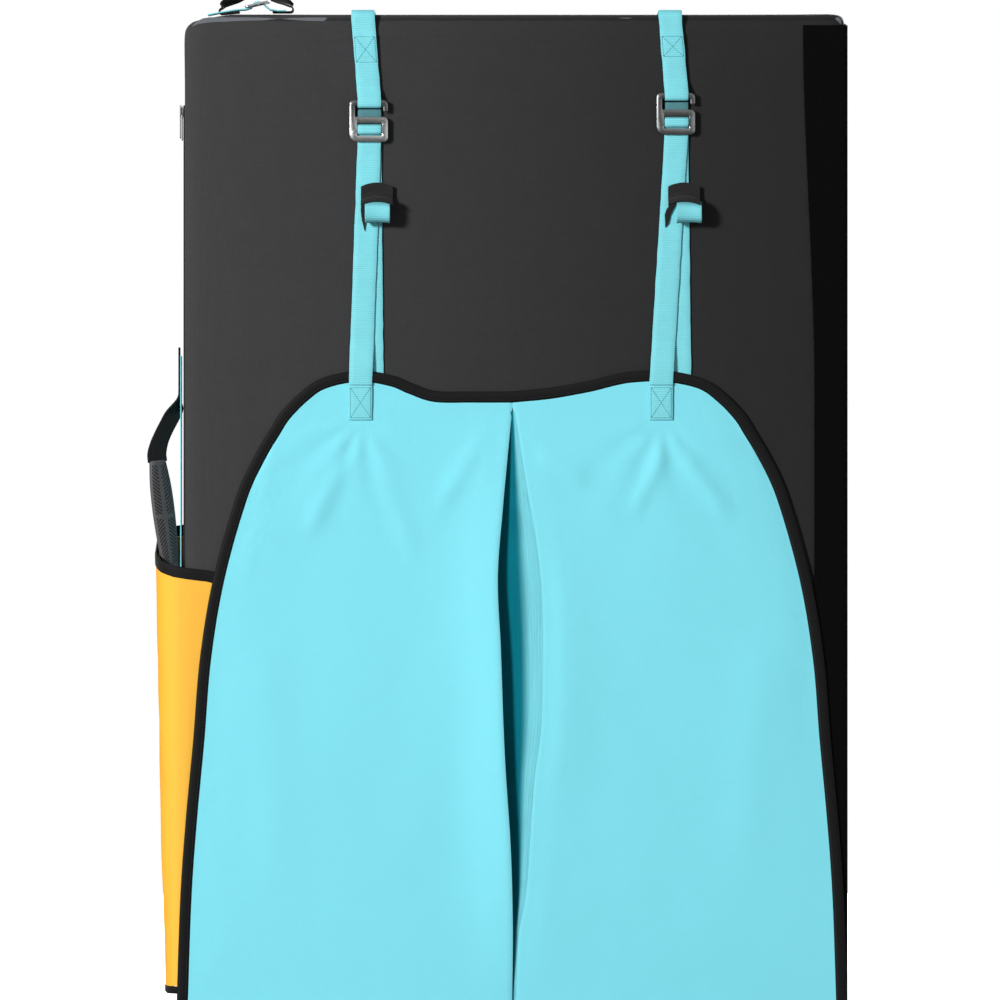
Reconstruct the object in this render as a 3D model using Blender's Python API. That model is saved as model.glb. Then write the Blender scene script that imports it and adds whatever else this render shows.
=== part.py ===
"""Bouldering crash pad, folded for carrying.

Metres, +Z up. The origin is on the floor under the middle of the folded pad. The face with the
closing flap looks towards -Y and the shoulder straps towards +Y. The two halves open like a book
about a vertical axis at the +X side.
"""

import math

import bmesh
import bpy
from mathutils import Vector

# Clearances between pieces
FIT = 0.0003
OVERRUN = 0.002

# Folded pad
PAD_W = 0.711
PAD_H = 1.067
HALF_T = 0.127
EDGE_R = 0.007
CORNER_R = 0.0085
SOFT_CORNER_R = 0.028
COVER_WALL = 0.002
FOLD_GAP = 0.001
HINGE_CLEARANCE = 0.0005
ROUND_STEPS = 3

# Foam in each half
LANDING_FOAM_T = 0.025
BASE_FOAM_T = 0.019
FOAM_EDGE_R = 0.002

# Zip in the open side of each half
ZIP_Y = 0.035
ZIP_LOW_Z = 0.10
ZIP_TOP_DROP = 0.097
ZIP_SLOT_W = 0.007
ZIP_COIL_W = 0.004
ZIP_COIL_RISE = 0.0008
SLIDER_L = 0.012
SLIDER_W = 0.009
SLIDER_T = 0.0035
PULL_L = 0.024
PULL_W = 0.006
PULL_T = 0.0014

# Joining strip of hook-and-loop tape down the right edge of the face
JOIN_T = 0.0015
JOIN_LOW_Z = 0.010
JOIN_TOP_DROP = 0.015
JOIN_EDGE_TOP_X = 0.3075
JOIN_EDGE_LOW_X = 0.3195
JOIN_LEAN_DROP = 0.402
JOIN_END_DEG = -40.0

# Closing flap and the panel under the pad that carries it
BASE_T = 0.0022
BASE_TAB_H = 0.045
FLAP_X = -0.0027
FLAP_HALF_W = 0.346
FLAP_TOP_DROP = 0.395
FLAP_T = 0.0016
FOLD_Y = -0.1305
FOLD_Z = 0.0012
BINDING_W = 0.0115
BINDING_T = 0.0026
UNDERLAY_T = 0.0014
UNDERLAY_TUCK = 0.020
PLEAT_OPEN = 0.032
PLEAT_LIFT = 0.003
PLEAT_LIFT_REACH = 0.022
PUCKER_H = 0.0026
PUCKER_REACH = 0.085
PUCKER_CLEAR = 0.024
PUCKERS = 5
FLAP_COLUMNS = 18
FLAP_ROWS = 14

# Outline of half the flap: share of FLAP_HALF_W, share of FLAP_TOP
SIDE_SHARES = [
    (1.0, 0.0), (0.988, 0.18), (0.971, 0.305), (0.948, 0.432), (0.928, 0.558), (0.887, 0.685),
    (0.818, 0.812), (0.763, 0.875), (0.716, 0.916),
]
TOP_SHARES = [
    (0.716, 0.916), (0.688, 0.939), (0.636, 0.967), (0.575, 0.989), (0.471, 1.0), (0.376, 0.993),
    (0.318, 0.981), (0.24, 0.968), (0.12, 0.967), (0.0, 0.967),
]
# Edges of the open centre pleat: share of PLEAT_OPEN from the flap's middle, share of FLAP_TOP
PLEAT_LEFT_SHARES = [
    (-0.03, 0.0), (0.0, 0.13), (-0.07, 0.26), (-0.27, 0.41), (-0.40, 0.575), (-0.50, 0.69),
    (-0.33, 0.80), (-0.10, 0.918), (0.0, 0.967),
]
PLEAT_RIGHT_SHARES = [
    (0.10, 0.0), (0.20, 0.12), (0.47, 0.197), (0.70, 0.355), (0.97, 0.465), (1.0, 0.638),
    (0.80, 0.745), (0.47, 0.835), (0.10, 0.945), (0.0, 0.967),
]

# Yellow side wing, from the back half round the open side and under the flap's left edge
WING_T = 0.0015
WING_LOW_Z = 0.0275
WING_OVER_GRIP = 0.0455
WING_HEM = 0.008
WING_BINDING_W = 0.012
WING_SEAM_Y = 0.108
WING_AXIS_Y = 0.095
WING_BULGE_LOW = 0.016
WING_BULGE_TOP = 0.0275
WING_FLAT = 0.012
WING_ROWS = 6
# Along the wing from its seam: share of the bulge, share of HALF_T towards the back
WING_SIDE_SHARES = [
    (0.45, 0.62), (0.85, 0.46), (1.0, 0.22), (1.0, -0.12), (1.0, -0.45), (0.98, -0.74),
    (0.75, -0.90), (0.26, -0.985),
]
# Along the front, from the pad's left edge to the wing's front end
WING_FRONT_SHARES = [0.15, 0.6, 1.0]
# Height of the yellow's top edge over its low edge, as a share of WING_RISE, seam to front end
WING_TOP_SHARES = [0.985, 0.98, 0.975, 0.965, 0.955, 0.945, 0.93, 0.915, 0.90, 0.89, 0.885, 0.88, 0.87]

# Webbing
WEB_W = 0.025
WEB_T = 0.0014
BLACK_WEB_T = 0.0018

# Open hook buckle, measured from the middle of its webbing bar
HOOK_T = 0.0032
HOOK_LEFT = 0.0213
HOOK_RIGHT = 0.0197
HOOK_FRAME_HALF_H = 0.0133
HOOK_SLOT_HALF_W = 0.0133
HOOK_SLOT_H = 0.0040
HOOK_MID_HALF_H = 0.0027
HOOK_ARM_W = 0.0058
HOOK_NUB_W = 0.0050
HOOK_NUB_END = 0.0186
HOOK_TOP = 0.0310
HOOK_BAR_H = 0.0060
HOOK_ROUND_R = 0.0045
HOOK_TOE_R = 0.0085
HOOK_INNER_R = 0.0014
HOOK_EDGE_R = 0.0005

# Closing straps: how the webbing lies
LAYER = WEB_T + FIT
LOOP_R = 0.0030
LOOP_CLOSE_RISE = 0.013
STRAP_ANCHOR_H = 0.068
BOX_STITCH_DROP = 0.0266
TAIL_TOP = 0.0200
# The webbing's way through the buckle below its middle: y from the plate's middle, z from the bar's
THREAD_POINTS = [
    (0.0026, -0.0090), (0.0026, -0.0069), (0.0016, -0.0052), (0.0, -0.0047), (-0.0016, -0.0042),
    (-0.0026, -0.0029), (-0.0026, -0.0018),
]
TAIL_END_DROP = 0.032
TAB_LOW_DROP = 0.041
TAB_HIGH_DROP = 0.004
STRAP_SETTLE_RISE = 0.043
STRAP_FLIP_Y = 0.148
STRAP_FLIP_RISE = 0.008

# Rolled surplus webbing and its keeper
ROLL_DROP = 0.2137
ROLL_H = 0.0288
ROLL_D = 0.0185
ROLL_TURNS = 3.0
ROLL_STEPS = 16
ROLL_CORE_SHARE = 0.30
KEEPER_W = 0.034
KEEPER_T = 0.0012
KEEPER_RISE = 0.0149
KEEPER_STEPS = 8
KEEPER_START_DEG = 62.0
KEEPER_END_DEG = 138.0

# Side handle on the front half
SIDE_HANDLE_Y = -0.086
BACKING_LOW_DROP = 0.672
BACKING_HIGH_DROP = 0.367
GRIP_TOP_X = -0.3820
GRIP_TOP_DROP = 0.479
GRIP_END_X = -0.3675
GRIP_END_DROP = 0.595
GRIP_W = 0.0250
GRIP_T = 0.0085
GRIP_YAW_DEG = 22.0
GRIP_ROUND_R = 0.0026
GRIP_SLOT_W = 0.0017
GRIP_SLOT_L = 0.0088
GRIP_SLOT_DEPTH = 0.0014
GRIP_SLOT_PITCH = 0.0058
GRIP_SLOT_DEG = 38.0
GRIP_SPINE_GAP = 0.0016
GRIP_CHEVRONS = 8
GRIP_CHEVRON_FREE = 0.0050
# Along the grip: share of its length, share of its full width
GRIP_WIDTH_SHARES = [
    (0.0, 0.72), (0.06, 0.86), (0.2, 0.97), (0.45, 1.0), (0.7, 0.94), (0.9, 0.80), (1.0, 0.68),
]
HANDLE_SEWN_TOP_DROP = 0.358
HANDLE_FREE_TOP_DROP = 0.405
HANDLE_FREE_LOW_DROP = 0.627
HANDLE_SEWN_LOW_DROP = 0.662
HANDLE_TWIST_SHARES = [0.2, 0.4, 0.6, 0.8, 1.0]
HANDLE_FLAT_SHARE = 0.25
HANDLE_STRAIGHT = 0.005
HANDLE_WEB_SHARE = 0.72

# Handle and adjusting strap on top of the front half
TOP_HANDLE_Y = -0.066
TOP_HANDLE_LEFT_X = -0.316
TOP_HANDLE_RIGHT_X = -0.237
TOP_HANDLE_RISE = 0.040
TOP_HANDLE_FOOT = 0.022
TOP_HANDLE_FOLD_R = 0.003
TOP_SHOULDER_SHARE = 0.80
TOP_ARCH_STEPS = 14
TOP_GRIP_FROM = 4
TOP_GRIP_T = 0.0032
TOP_STRAP_Y = -0.1045
TOP_STRAP_LEFT_X = -0.3275
TOP_STRAP_RIGHT_X = -0.2440
TOP_SLIDER_X = -0.2745
TOP_SLIDER_LIFT = 0.0080
TOP_SLIDER_L = 0.0270
TOP_SLIDER_W = 0.0320
TOP_SLIDER_T = 0.0024
TOP_SLIDER_DEG = 13.0
TOP_SLIDER_BAR = 0.0040
TOP_SLIDER_RAIL = 0.0030
TOP_DIP_SHARE = 1.15

# Carrying system on the back
YOKE_W = 0.300
YOKE_LOW_DROP = 0.277
YOKE_HIGH_DROP = 0.202
YOKE_T = 0.002
SHOULDER_X = 0.100
SHOULDER_W = 0.064
SHOULDER_T = 0.012
SHOULDER_TOP_DROP = 0.222
SHOULDER_END_Z = 0.420
SHOULDER_BOW = 0.034
SHOULDER_BOW_SHARE = 0.8
SHOULDER_EDGE_R = 0.0035
SHOULDER_STEPS = 12
ADJUSTER_W = 0.034
ADJUSTER_H = 0.030
ADJUSTER_T = 0.0055
ADJUSTER_BAR = 0.005
ADJUSTER_RAIL = 0.0035
LOWER_ANCHOR_LOW_Z = 0.135
LOWER_ANCHOR_H = 0.045
LOWER_ANCHOR_W = 0.040
HIP_Z = 0.098
HIP_W = 0.038
HIP_SEAM_X = 0.190
HIP_END_X = 0.040
BUCKLE_L = 0.034
BUCKLE_W = 0.044
BUCKLE_T = 0.009
PRONG_L = 0.014
PRONG_W = 0.007
BUCKLE_ROUND_R = 0.003
PLUG_SHARE = 0.6

# Values worked out from the above; a drop is measured down from the pad's top or the flap's
FACE_Y = -HALF_T
COVER_LOW_Z = BASE_T + FIT
SIDE_X = -PAD_W / 2
FLAP_IN_Y = FACE_Y - FIT - JOIN_T - FIT
FLAP_OUT_Y = FLAP_IN_Y - FLAP_T
TAIL_Y = FACE_Y - FIT - WEB_T / 2
LOAD_Y = TAIL_Y - LAYER
PLATE_Y = LOAD_Y - WEB_T / 2 - FIT - HOOK_T / 2
WRAP_Y = PLATE_Y - HOOK_T / 2 - FIT - WEB_T / 2
OVER_BINDING_Y = FLAP_IN_Y - BINDING_T - FIT - WEB_T / 2
HOOK_BAR_MID = HOOK_TOP - HOOK_BAR_H / 2
ZIP_HIGH_Z = PAD_H - ZIP_TOP_DROP
FLAP_TOP = PAD_H - FLAP_TOP_DROP
JOIN_HIGH_Z = PAD_H - JOIN_TOP_DROP
JOIN_LEAN_Z = PAD_H - JOIN_LEAN_DROP
BOX_STITCH_TOP_Z = PAD_H - BOX_STITCH_DROP
TAIL_END_Z = FLAP_TOP - TAIL_END_DROP
TAB_LOW_Z = FLAP_TOP - TAB_LOW_DROP
TAB_HIGH_Z = FLAP_TOP - TAB_HIGH_DROP
STRAP_SETTLE_Z = FLAP_TOP + STRAP_SETTLE_RISE
STRAP_FLIP_Z = FLAP_TOP + STRAP_FLIP_RISE
ROLL_Z = PAD_H - ROLL_DROP
BACKING_LOW_Z = PAD_H - BACKING_LOW_DROP
BACKING_HIGH_Z = PAD_H - BACKING_HIGH_DROP
HANDLE_SEWN_TOP_Z = PAD_H - HANDLE_SEWN_TOP_DROP
HANDLE_FREE_TOP_Z = PAD_H - HANDLE_FREE_TOP_DROP
HANDLE_FREE_LOW_Z = PAD_H - HANDLE_FREE_LOW_DROP
HANDLE_SEWN_LOW_Z = PAD_H - HANDLE_SEWN_LOW_DROP
GRIP_TOP = (GRIP_TOP_X, PAD_H - GRIP_TOP_DROP)
GRIP_END = (GRIP_END_X, PAD_H - GRIP_END_DROP)
WING_RISE = GRIP_END[1] + WING_OVER_GRIP - WING_LOW_Z
YOKE_LOW_Z = PAD_H - YOKE_LOW_DROP
YOKE_HIGH_Z = PAD_H - YOKE_HIGH_DROP
SHOULDER_TOP_Z = PAD_H - SHOULDER_TOP_DROP

# Each closing strap: places of its sewn tab, buckle, top edge, roll and keeper, and the outline of
# the keeper's pointed end, from the keeper's middle and the roll's
STRAPS = {
    "left": {
        "tab_x": -0.1642, "hook_x": -0.1546, "top_x": -0.1615, "hook_drop": 0.1263, "tail_x": -0.1516,
        "roll_x": -0.1460, "keeper_x": -0.1467,
        "tongue": [
            (-0.0166, 0.0290), (-0.0173, 0.0016), (-0.0162, -0.0085), (-0.0131, -0.0208),
            (-0.0122, -0.0140), (-0.0122, 0.0100), (-0.0116, 0.0290),
        ],
    },
    "right": {
        "tab_x": 0.1562, "hook_x": 0.1727, "top_x": 0.1660, "hook_drop": 0.1186, "tail_x": 0.1764,
        "roll_x": 0.1860, "keeper_x": 0.1806,
        "tongue": [
            (-0.0166, 0.0290), (-0.0166, 0.0091), (-0.0206, -0.0037), (-0.0199, -0.0171),
            (-0.0164, -0.0128), (-0.0148, -0.0048), (-0.0106, 0.0037), (-0.0080, 0.0110),
            (-0.0080, 0.0290),
        ],
    },
}
for strap in STRAPS.values():
    strap["hook_z"] = PAD_H - strap["hook_drop"]


def clear_scene():
    for obj in list(bpy.data.objects):
        bpy.data.objects.remove(obj, do_unlink=True)


def material(name, colour, roughness, metallic=0.0):
    mat = bpy.data.materials.new(name)
    mat.use_nodes = True
    shader = mat.node_tree.nodes["Principled BSDF"]
    shader.inputs["Base Color"].default_value = (*colour, 1.0)
    shader.inputs["Roughness"].default_value = roughness
    shader.inputs["Metallic"].default_value = metallic
    return mat


def make_materials():
    return {
        "cover": material("cover_fabric", (0.055, 0.055, 0.057), 0.9),
        "black": material("black_webbing", (0.012, 0.012, 0.013), 0.85),
        "teal": material("turquoise_fabric", (0.25, 0.80, 0.90), 0.8),
        "yellow": material("yellow_fabric", (1.0, 0.57, 0.06), 0.8),
        "foam": material("open_foam", (0.75, 0.72, 0.62), 1.0),
        "closed_foam": material("closed_foam", (0.30, 0.32, 0.34), 0.95),
        "metal": material("brushed_aluminium", (0.62, 0.62, 0.63), 0.35, 1.0),
        "grip": material("grey_rubber", (0.11, 0.11, 0.115), 0.7),
        "plastic": material("black_plastic", (0.02, 0.02, 0.021), 0.5),
    }


def pivot(name, location, parent=None):
    """An empty on a joint's axis, which carries the pieces that move with it."""
    empty = bpy.data.objects.new(name, None)
    bpy.context.scene.collection.objects.link(empty)
    empty.location = location
    if parent:
        empty.parent = parent
        empty.location = Vector(location) - parent.matrix_world.translation
    bpy.context.view_layer.update()
    return empty


def place(name, mesh, mat, body):
    """Links a mesh given in world coordinates and hangs it on its body's empty."""
    mesh.materials.append(mat)
    obj = bpy.data.objects.new(name, mesh)
    bpy.context.scene.collection.objects.link(obj)
    if body:
        obj.parent = body
        obj.matrix_parent_inverse = body.matrix_world.inverted()
    return obj


def closed_mesh(name, verts, faces):
    mesh = bpy.data.meshes.new(name)
    mesh.from_pydata([tuple(v) for v in verts], [], faces)
    bm = bmesh.new()
    bm.from_mesh(mesh)
    bmesh.ops.recalc_face_normals(bm, faces=bm.faces)
    bm.to_mesh(mesh)
    bm.free()
    return mesh


def through_rings(name, rings):
    """A closed body through rings of equal length, with a cap at each end."""
    size = len(rings[0])
    verts = [point for ring in rings for point in ring]
    faces = [tuple(range(size)), tuple(range(len(verts) - size, len(verts)))]
    for row in range(len(rings) - 1):
        for k in range(size):
            a = row * size + k
            b = row * size + (k + 1) % size
            faces.append((a, b, b + size, a + size))
    return closed_mesh(name, verts, faces)


def strip(name, path, width, thickness, across=Vector((1, 0, 0))):
    """Webbing along a path of points; across is its width direction, or one for each point."""
    rings = []
    for i, point in enumerate(path):
        before = path[max(i - 1, 0)]
        after = path[min(i + 1, len(path) - 1)]
        side = across[i] if isinstance(across, list) else across
        side = side.normalized()
        out = (after - before).cross(side).normalized()
        w = side * width / 2
        t = out * thickness / 2
        rings.append([point - w - t, point + w - t, point + w + t, point - w + t])
    return through_rings(name, rings)


def sheet(name, grid, thickness):
    """Cloth of even thickness on both sides of a grid of points."""
    rows = len(grid)
    cols = len(grid[0])
    front, back = [], []
    for i in range(rows):
        for j in range(cols):
            along = grid[min(i + 1, rows - 1)][j] - grid[max(i - 1, 0)][j]
            over = grid[i][min(j + 1, cols - 1)] - grid[i][max(j - 1, 0)]
            normal = along.cross(over).normalized() * thickness / 2
            front.append(grid[i][j] + normal)
            back.append(grid[i][j] - normal)
    other = rows * cols
    faces = []
    for i in range(rows - 1):
        for j in range(cols - 1):
            a = i * cols + j
            quad = (a, a + 1, a + cols + 1, a + cols)
            faces.append(quad)
            faces.append(tuple(other + k for k in reversed(quad)))
    rim = [j for j in range(cols)]
    rim += [i * cols + cols - 1 for i in range(1, rows)]
    rim += [(rows - 1) * cols + j for j in range(cols - 2, -1, -1)]
    rim += [i * cols for i in range(rows - 2, 0, -1)]
    for k, a in enumerate(rim):
        b = rim[(k + 1) % len(rim)]
        faces.append((a, b, b + other, a + other))
    return closed_mesh(name, front + back, faces)


def prism(name, outline, holes, depth, put):
    """A plate with holes: outlines in its own plane, put() lays a point in the world."""
    bm = bmesh.new()
    edges = []
    for loop in [outline, *holes]:
        verts = [bm.verts.new(put(a, b, 0)) for a, b in loop]
        edges += [bm.edges.new((v, verts[(k + 1) % len(verts)])) for k, v in enumerate(verts)]
    bmesh.ops.triangle_fill(bm, use_beauty=True, use_dissolve=False, edges=edges)
    grown = bmesh.ops.extrude_face_region(bm, geom=bm.faces[:])
    moved = [item for item in grown["geom"] if isinstance(item, bmesh.types.BMVert)]
    step = Vector(put(0, 0, depth)) - Vector(put(0, 0, 0))
    bmesh.ops.translate(bm, verts=moved, vec=step)
    bmesh.ops.recalc_face_normals(bm, faces=bm.faces)
    mesh = bpy.data.meshes.new(name)
    bm.to_mesh(mesh)
    bm.free()
    return mesh


def filleted(corners, steps=3):
    """An outline from corners (a, b, radius), each rounded by an arc."""
    points = []
    for i, (a, b, radius) in enumerate(corners):
        here = Vector((a, b))
        if radius == 0:
            points.append((a, b))
            continue
        to_last = (Vector(corners[i - 1][:2]) - here).normalized()
        to_next = (Vector(corners[(i + 1) % len(corners)][:2]) - here).normalized()
        half = to_last.angle(to_next) / 2
        centre = here + (to_last + to_next).normalized() * radius / math.sin(half)
        start = here + to_last * radius / math.tan(half) - centre
        turn = math.pi - 2 * half
        if start.y * to_last.x - start.x * to_last.y < 0:
            turn = -turn
        for k in range(steps + 1):
            angle = turn * k / steps
            x = start.x * math.cos(angle) - start.y * math.sin(angle)
            y = start.x * math.sin(angle) + start.y * math.cos(angle)
            points.append((centre.x + x, centre.y + y))
    return points


def rounded_bar(low_a, high_a, low_b, high_b, radius):
    corners = [(low_a, low_b), (high_a, low_b), (high_a, high_b), (low_a, high_b)]
    return filleted([(a, b, radius) for a, b in corners])


class Curve:
    """A smooth curve through points, read by its share of length."""

    def __init__(self, points, fine=12):
        pts = [Vector(p) for p in points]
        ends = [2 * pts[0] - pts[1], *pts, 2 * pts[-1] - pts[-2]]
        self.points = [pts[0]]
        for i in range(1, len(ends) - 2):
            p0, p1, p2, p3 = ends[i - 1 : i + 3]
            for k in range(1, fine + 1):
                t = k / fine
                bend = 2 * p0 - 5 * p1 + 4 * p2 - p3
                last = 3 * p1 - p0 - 3 * p2 + p3
                self.points.append((2 * p1 + (p2 - p0) * t + bend * t**2 + last * t**3) / 2)
        self.reach = [0.0]
        for a, b in zip(self.points, self.points[1:]):
            self.reach.append(self.reach[-1] + (b - a).length)

    def at(self, share):
        goal = min(max(share, 0.0), 1.0) * self.reach[-1]
        for k in range(1, len(self.points)):
            if self.reach[k] >= goal or k == len(self.points) - 1:
                span = self.reach[k] - self.reach[k - 1]
                return self.points[k - 1].lerp(self.points[k], (goal - self.reach[k - 1]) / span)

    def even(self, count):
        return [self.at(k / count) for k in range(count + 1)]


def bevel(obj, width, segments=2, angle=40.0):
    mod = obj.modifiers.new("edges", "BEVEL")
    mod.width = width
    mod.segments = segments
    mod.limit_method = "ANGLE"
    mod.angle_limit = math.radians(angle)
    return obj


def combine(obj, other, operation):
    other.hide_render = True
    other.display_type = "WIRE"
    mod = obj.modifiers.new("shape", "BOOLEAN")
    mod.operation = operation
    mod.object = other
    return obj


def cut(obj, cutter):
    return combine(obj, cutter, "DIFFERENCE")


def join(obj, other):
    return combine(obj, other, "UNION")


def rounded_box(name, low, high, edge_r, corner_rs, steps=ROUND_STEPS):
    """A block with its corners rounded in XZ by corner_rs and its faces' edges by edge_r."""
    x0, y0, z0 = low
    x1, y1, z1 = high
    ways = [(x1, z0, -1, 1, -90), (x1, z1, -1, -1, 0), (x0, z1, 1, -1, 90), (x0, z0, 1, 1, 180)]

    def ring(y, inset):
        points = []
        for (x, z, way_x, way_z, start), radius in zip(ways, corner_rs):
            for k in range(steps + 1):
                angle = math.radians(start + 90 * k / steps)
                r = radius - inset
                cx = x + way_x * radius
                cz = z + way_z * radius
                points.append((cx + r * math.cos(angle), y, cz + r * math.sin(angle)))
        return points

    def end_rings(y, way):
        rings = []
        for k in range(steps + 1):
            angle = math.radians(90 * k / steps)
            rings.append(ring(y + way * edge_r * (1 - math.sin(angle)), edge_r * (1 - math.cos(angle))))
        return rings

    return through_rings(name, end_rings(y0, 1)[::-1] + end_rings(y1, -1))


def yz(points, x=0.0):
    return [Vector((x, y, z)) for y, z in points]


def arc(centre, radius, start_deg, end_deg, steps):
    """Points of an arc as pairs, angles from the first axis towards the second."""
    points = []
    for k in range(steps + 1):
        angle = math.radians(start_deg + (end_deg - start_deg) * k / steps)
        points.append((centre[0] + radius * math.cos(angle), centre[1] + radius * math.sin(angle)))
    return points


def add_half(kind, way, body, mats):
    """One half of the pad: cover, zip, slider and three foams. way is -1 in front, 1 behind."""
    inner = FOLD_GAP / 2

    def block(name, x0, x1, near, far, z0, z1, edge_r, inset):
        low_y, high_y = sorted((way * near, way * far))
        plain = CORNER_R - inset
        radii = (plain, plain, SOFT_CORNER_R - inset, plain)
        return rounded_box(name, (x0, low_y, z0), (x1, high_y, z1), edge_r, radii)

    cover = block(f"{kind}_cover", SIDE_X, -SIDE_X, inner, HALF_T, COVER_LOW_Z, PAD_H, EDGE_R, 0.0)
    cover = place(f"{kind}_cover", cover, mats["cover"], body)
    wall = COVER_WALL
    x0, x1, z0, z1 = SIDE_X + wall, -SIDE_X - wall, COVER_LOW_Z + wall, PAD_H - wall
    near, far = inner + wall, HALF_T - wall
    name = f"{kind}_hollow"
    hollow = block(name, x0, x1, near, far, z0, z1, EDGE_R - wall, wall)
    cut(cover, place(name, hollow, mats["cover"], body))
    low_y, high_y = way * ZIP_Y - ZIP_SLOT_W / 2, way * ZIP_Y + ZIP_SLOT_W / 2
    outline = [(low_y, ZIP_LOW_Z), (high_y, ZIP_LOW_Z), (high_y, ZIP_HIGH_Z), (low_y, ZIP_HIGH_Z)]
    name = f"{kind}_slot"
    slot = prism(name, outline, [], wall + 2 * OVERRUN, lambda y, z, x: (SIDE_X - OVERRUN + x, y, z))
    cut(cover, place(name, slot, mats["cover"], body))

    add_zip(kind, way, body, mats)

    edge = wall + FIT
    core_t = far - near - 4 * FIT - LANDING_FOAM_T - BASE_FOAM_T
    layers = [
        ("landing", LANDING_FOAM_T, EDGE_R - wall, "closed_foam"),
        ("core", core_t, FOAM_EDGE_R, "foam"),
        ("base", BASE_FOAM_T, EDGE_R - wall, "closed_foam"),
    ]
    start = near + FIT
    for layer, thickness, edge_r, mat in layers:
        end = start + thickness
        name = f"{kind}_{layer}_foam"
        z0, z1 = COVER_LOW_Z + edge, PAD_H - edge
        foam = block(name, SIDE_X + edge, -SIDE_X - edge, start, end, z0, z1, edge_r, edge)
        place(name, foam, mats[mat], body)
        start = end + FIT


def add_zip(kind, way, body, mats):
    """Zip tape and coil in the cover's slot, and the slider that runs down it."""
    y = way * ZIP_Y
    half_tape = ZIP_SLOT_W / 2 - FIT
    half_coil = ZIP_COIL_W / 2
    tape_out, tape_in = SIDE_X + ZIP_COIL_RISE, SIDE_X + COVER_WALL
    profile = [
        (tape_in, y - half_tape), (tape_in, y + half_tape), (tape_out, y + half_tape),
        (tape_out, y + half_coil), (SIDE_X, y + half_coil - ZIP_COIL_RISE),
        (SIDE_X, y - half_coil + ZIP_COIL_RISE), (tape_out, y - half_coil), (tape_out, y - half_tape),
    ]
    length = ZIP_HIGH_Z - ZIP_LOW_Z - 2 * FIT
    zip_mesh = prism(f"{kind}_zip", profile, [], length, lambda x, v, z: (x, v, ZIP_LOW_Z + FIT + z))
    place(f"{kind}_zip", zip_mesh, mats["black"], body)

    out = SIDE_X - FIT - SLIDER_T
    top = ZIP_HIGH_Z - SLIDER_L
    rider = pivot(f"{kind}_zip_slider_body", (SIDE_X - FIT, y, top), body)
    half_w, half_pull = SLIDER_W / 2, PULL_W / 2
    outline = filleted([
        (y - half_w, top, SLIDER_W / 5), (y - half_pull, top - FIT, 0),
        (y - half_pull, top - PULL_L, PULL_W / 3), (y + half_pull, top - PULL_L, PULL_W / 3),
        (y + half_pull, top - FIT, 0), (y + half_w, top, SLIDER_W / 5),
        (y + half_w, top + SLIDER_L, SLIDER_W / 3), (y - half_w, top + SLIDER_L, SLIDER_W / 3),
    ])
    hole = arc((y, top - PULL_L + PULL_W), PULL_W / 4, 0, 315, 7)
    name = f"{kind}_zip_slider"
    plate = prism(name, outline, [hole], PULL_T, lambda v, z, x: (out + x, v, z))
    slider = place(name, plate, mats["metal"], rider)
    third, eighth = SLIDER_W / 3, SLIDER_L / 8
    outline = rounded_bar(y - third, y + third, top + eighth, top + SLIDER_L - eighth, third / 2)
    name = f"{kind}_slider_block"
    block = prism(name, outline, [], SLIDER_T, lambda v, z, x: (out + x, v, z))
    join(slider, place(name, block, mats["metal"], rider))


def add_hinge_fold(body, mats):
    """The landing fabric's turn between the halves, a round bead on the fold axis."""
    axis_x = -SIDE_X + HINGE_CLEARANCE
    reach = math.hypot(EDGE_R + HINGE_CLEARANCE, EDGE_R + FOLD_GAP / 2)
    radius = reach - EDGE_R - FIT
    ring = arc((axis_x, 0.0), radius, 0, 330, 11)
    low, high = COVER_LOW_Z + CORNER_R, PAD_H - CORNER_R
    bead = through_rings("fold_bead", [[Vector((x, y, z)) for x, y in ring] for z in (low, high)])
    place("hinge_fold", bead, mats["cover"], body)


def add_joining_strip(body, mats):
    """Hook-and-loop tape down the face's right edge, ending on its rounding."""
    out_y = FACE_Y - FIT - JOIN_T
    in_y = FACE_Y - FIT
    bend = (-SIDE_X - EDGE_R, FACE_Y + EDGE_R)
    out_arc = arc(bend, EDGE_R + FIT + JOIN_T, -90, JOIN_END_DEG, 4)
    in_arc = arc(bend, EDGE_R + FIT, JOIN_END_DEG, -90, 4)
    rings = []
    edges = [
        (JOIN_LOW_Z, JOIN_EDGE_LOW_X), (JOIN_LEAN_Z, JOIN_EDGE_LOW_X), (JOIN_HIGH_Z, JOIN_EDGE_TOP_X),
    ]
    for z, x in edges:
        ring = [(x, out_y), *out_arc, *in_arc, (x, in_y)]
        rings.append([Vector((a, b, z)) for a, b in ring])
    place("joining_strip", through_rings("joining_strip", rings), mats["black"], body)


def flap_side(z):
    """Distance of the flap's edge from its middle at a height on the side."""
    share = min(max(z / FLAP_TOP, 0.0), SIDE_SHARES[-1][1])
    for (x0, z0), (x1, z1) in zip(SIDE_SHARES, SIDE_SHARES[1:]):
        if share <= z1:
            return FLAP_HALF_W * (x0 + (x1 - x0) * (share - z0) / (z1 - z0))
    return FLAP_HALF_W * SIDE_SHARES[-1][0]


def from_shares(shares, width, low_z=0.0):
    points = [(FLAP_X + width * a, max(FLAP_TOP * b, low_z)) for a, b in shares]
    return Curve(points)


def smoothed(value):
    value = min(max(value, 0.0), 1.0)
    return value * value * (3 - 2 * value)


def pucker(x, z, tab_x):
    """How far the cloth stands out in the folds that fan below a sewn strap end."""
    down = TAB_LOW_Z - z
    across = x - tab_x
    reach = math.hypot(across, down)
    if down <= 0:
        return 0.0
    start = smoothed((reach - PUCKER_CLEAR) / PUCKER_CLEAR)
    ridge = math.cos(PUCKERS * math.atan2(across, down)) ** 2
    return PUCKER_H * start * ridge * math.exp(-reach / PUCKER_REACH)


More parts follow.
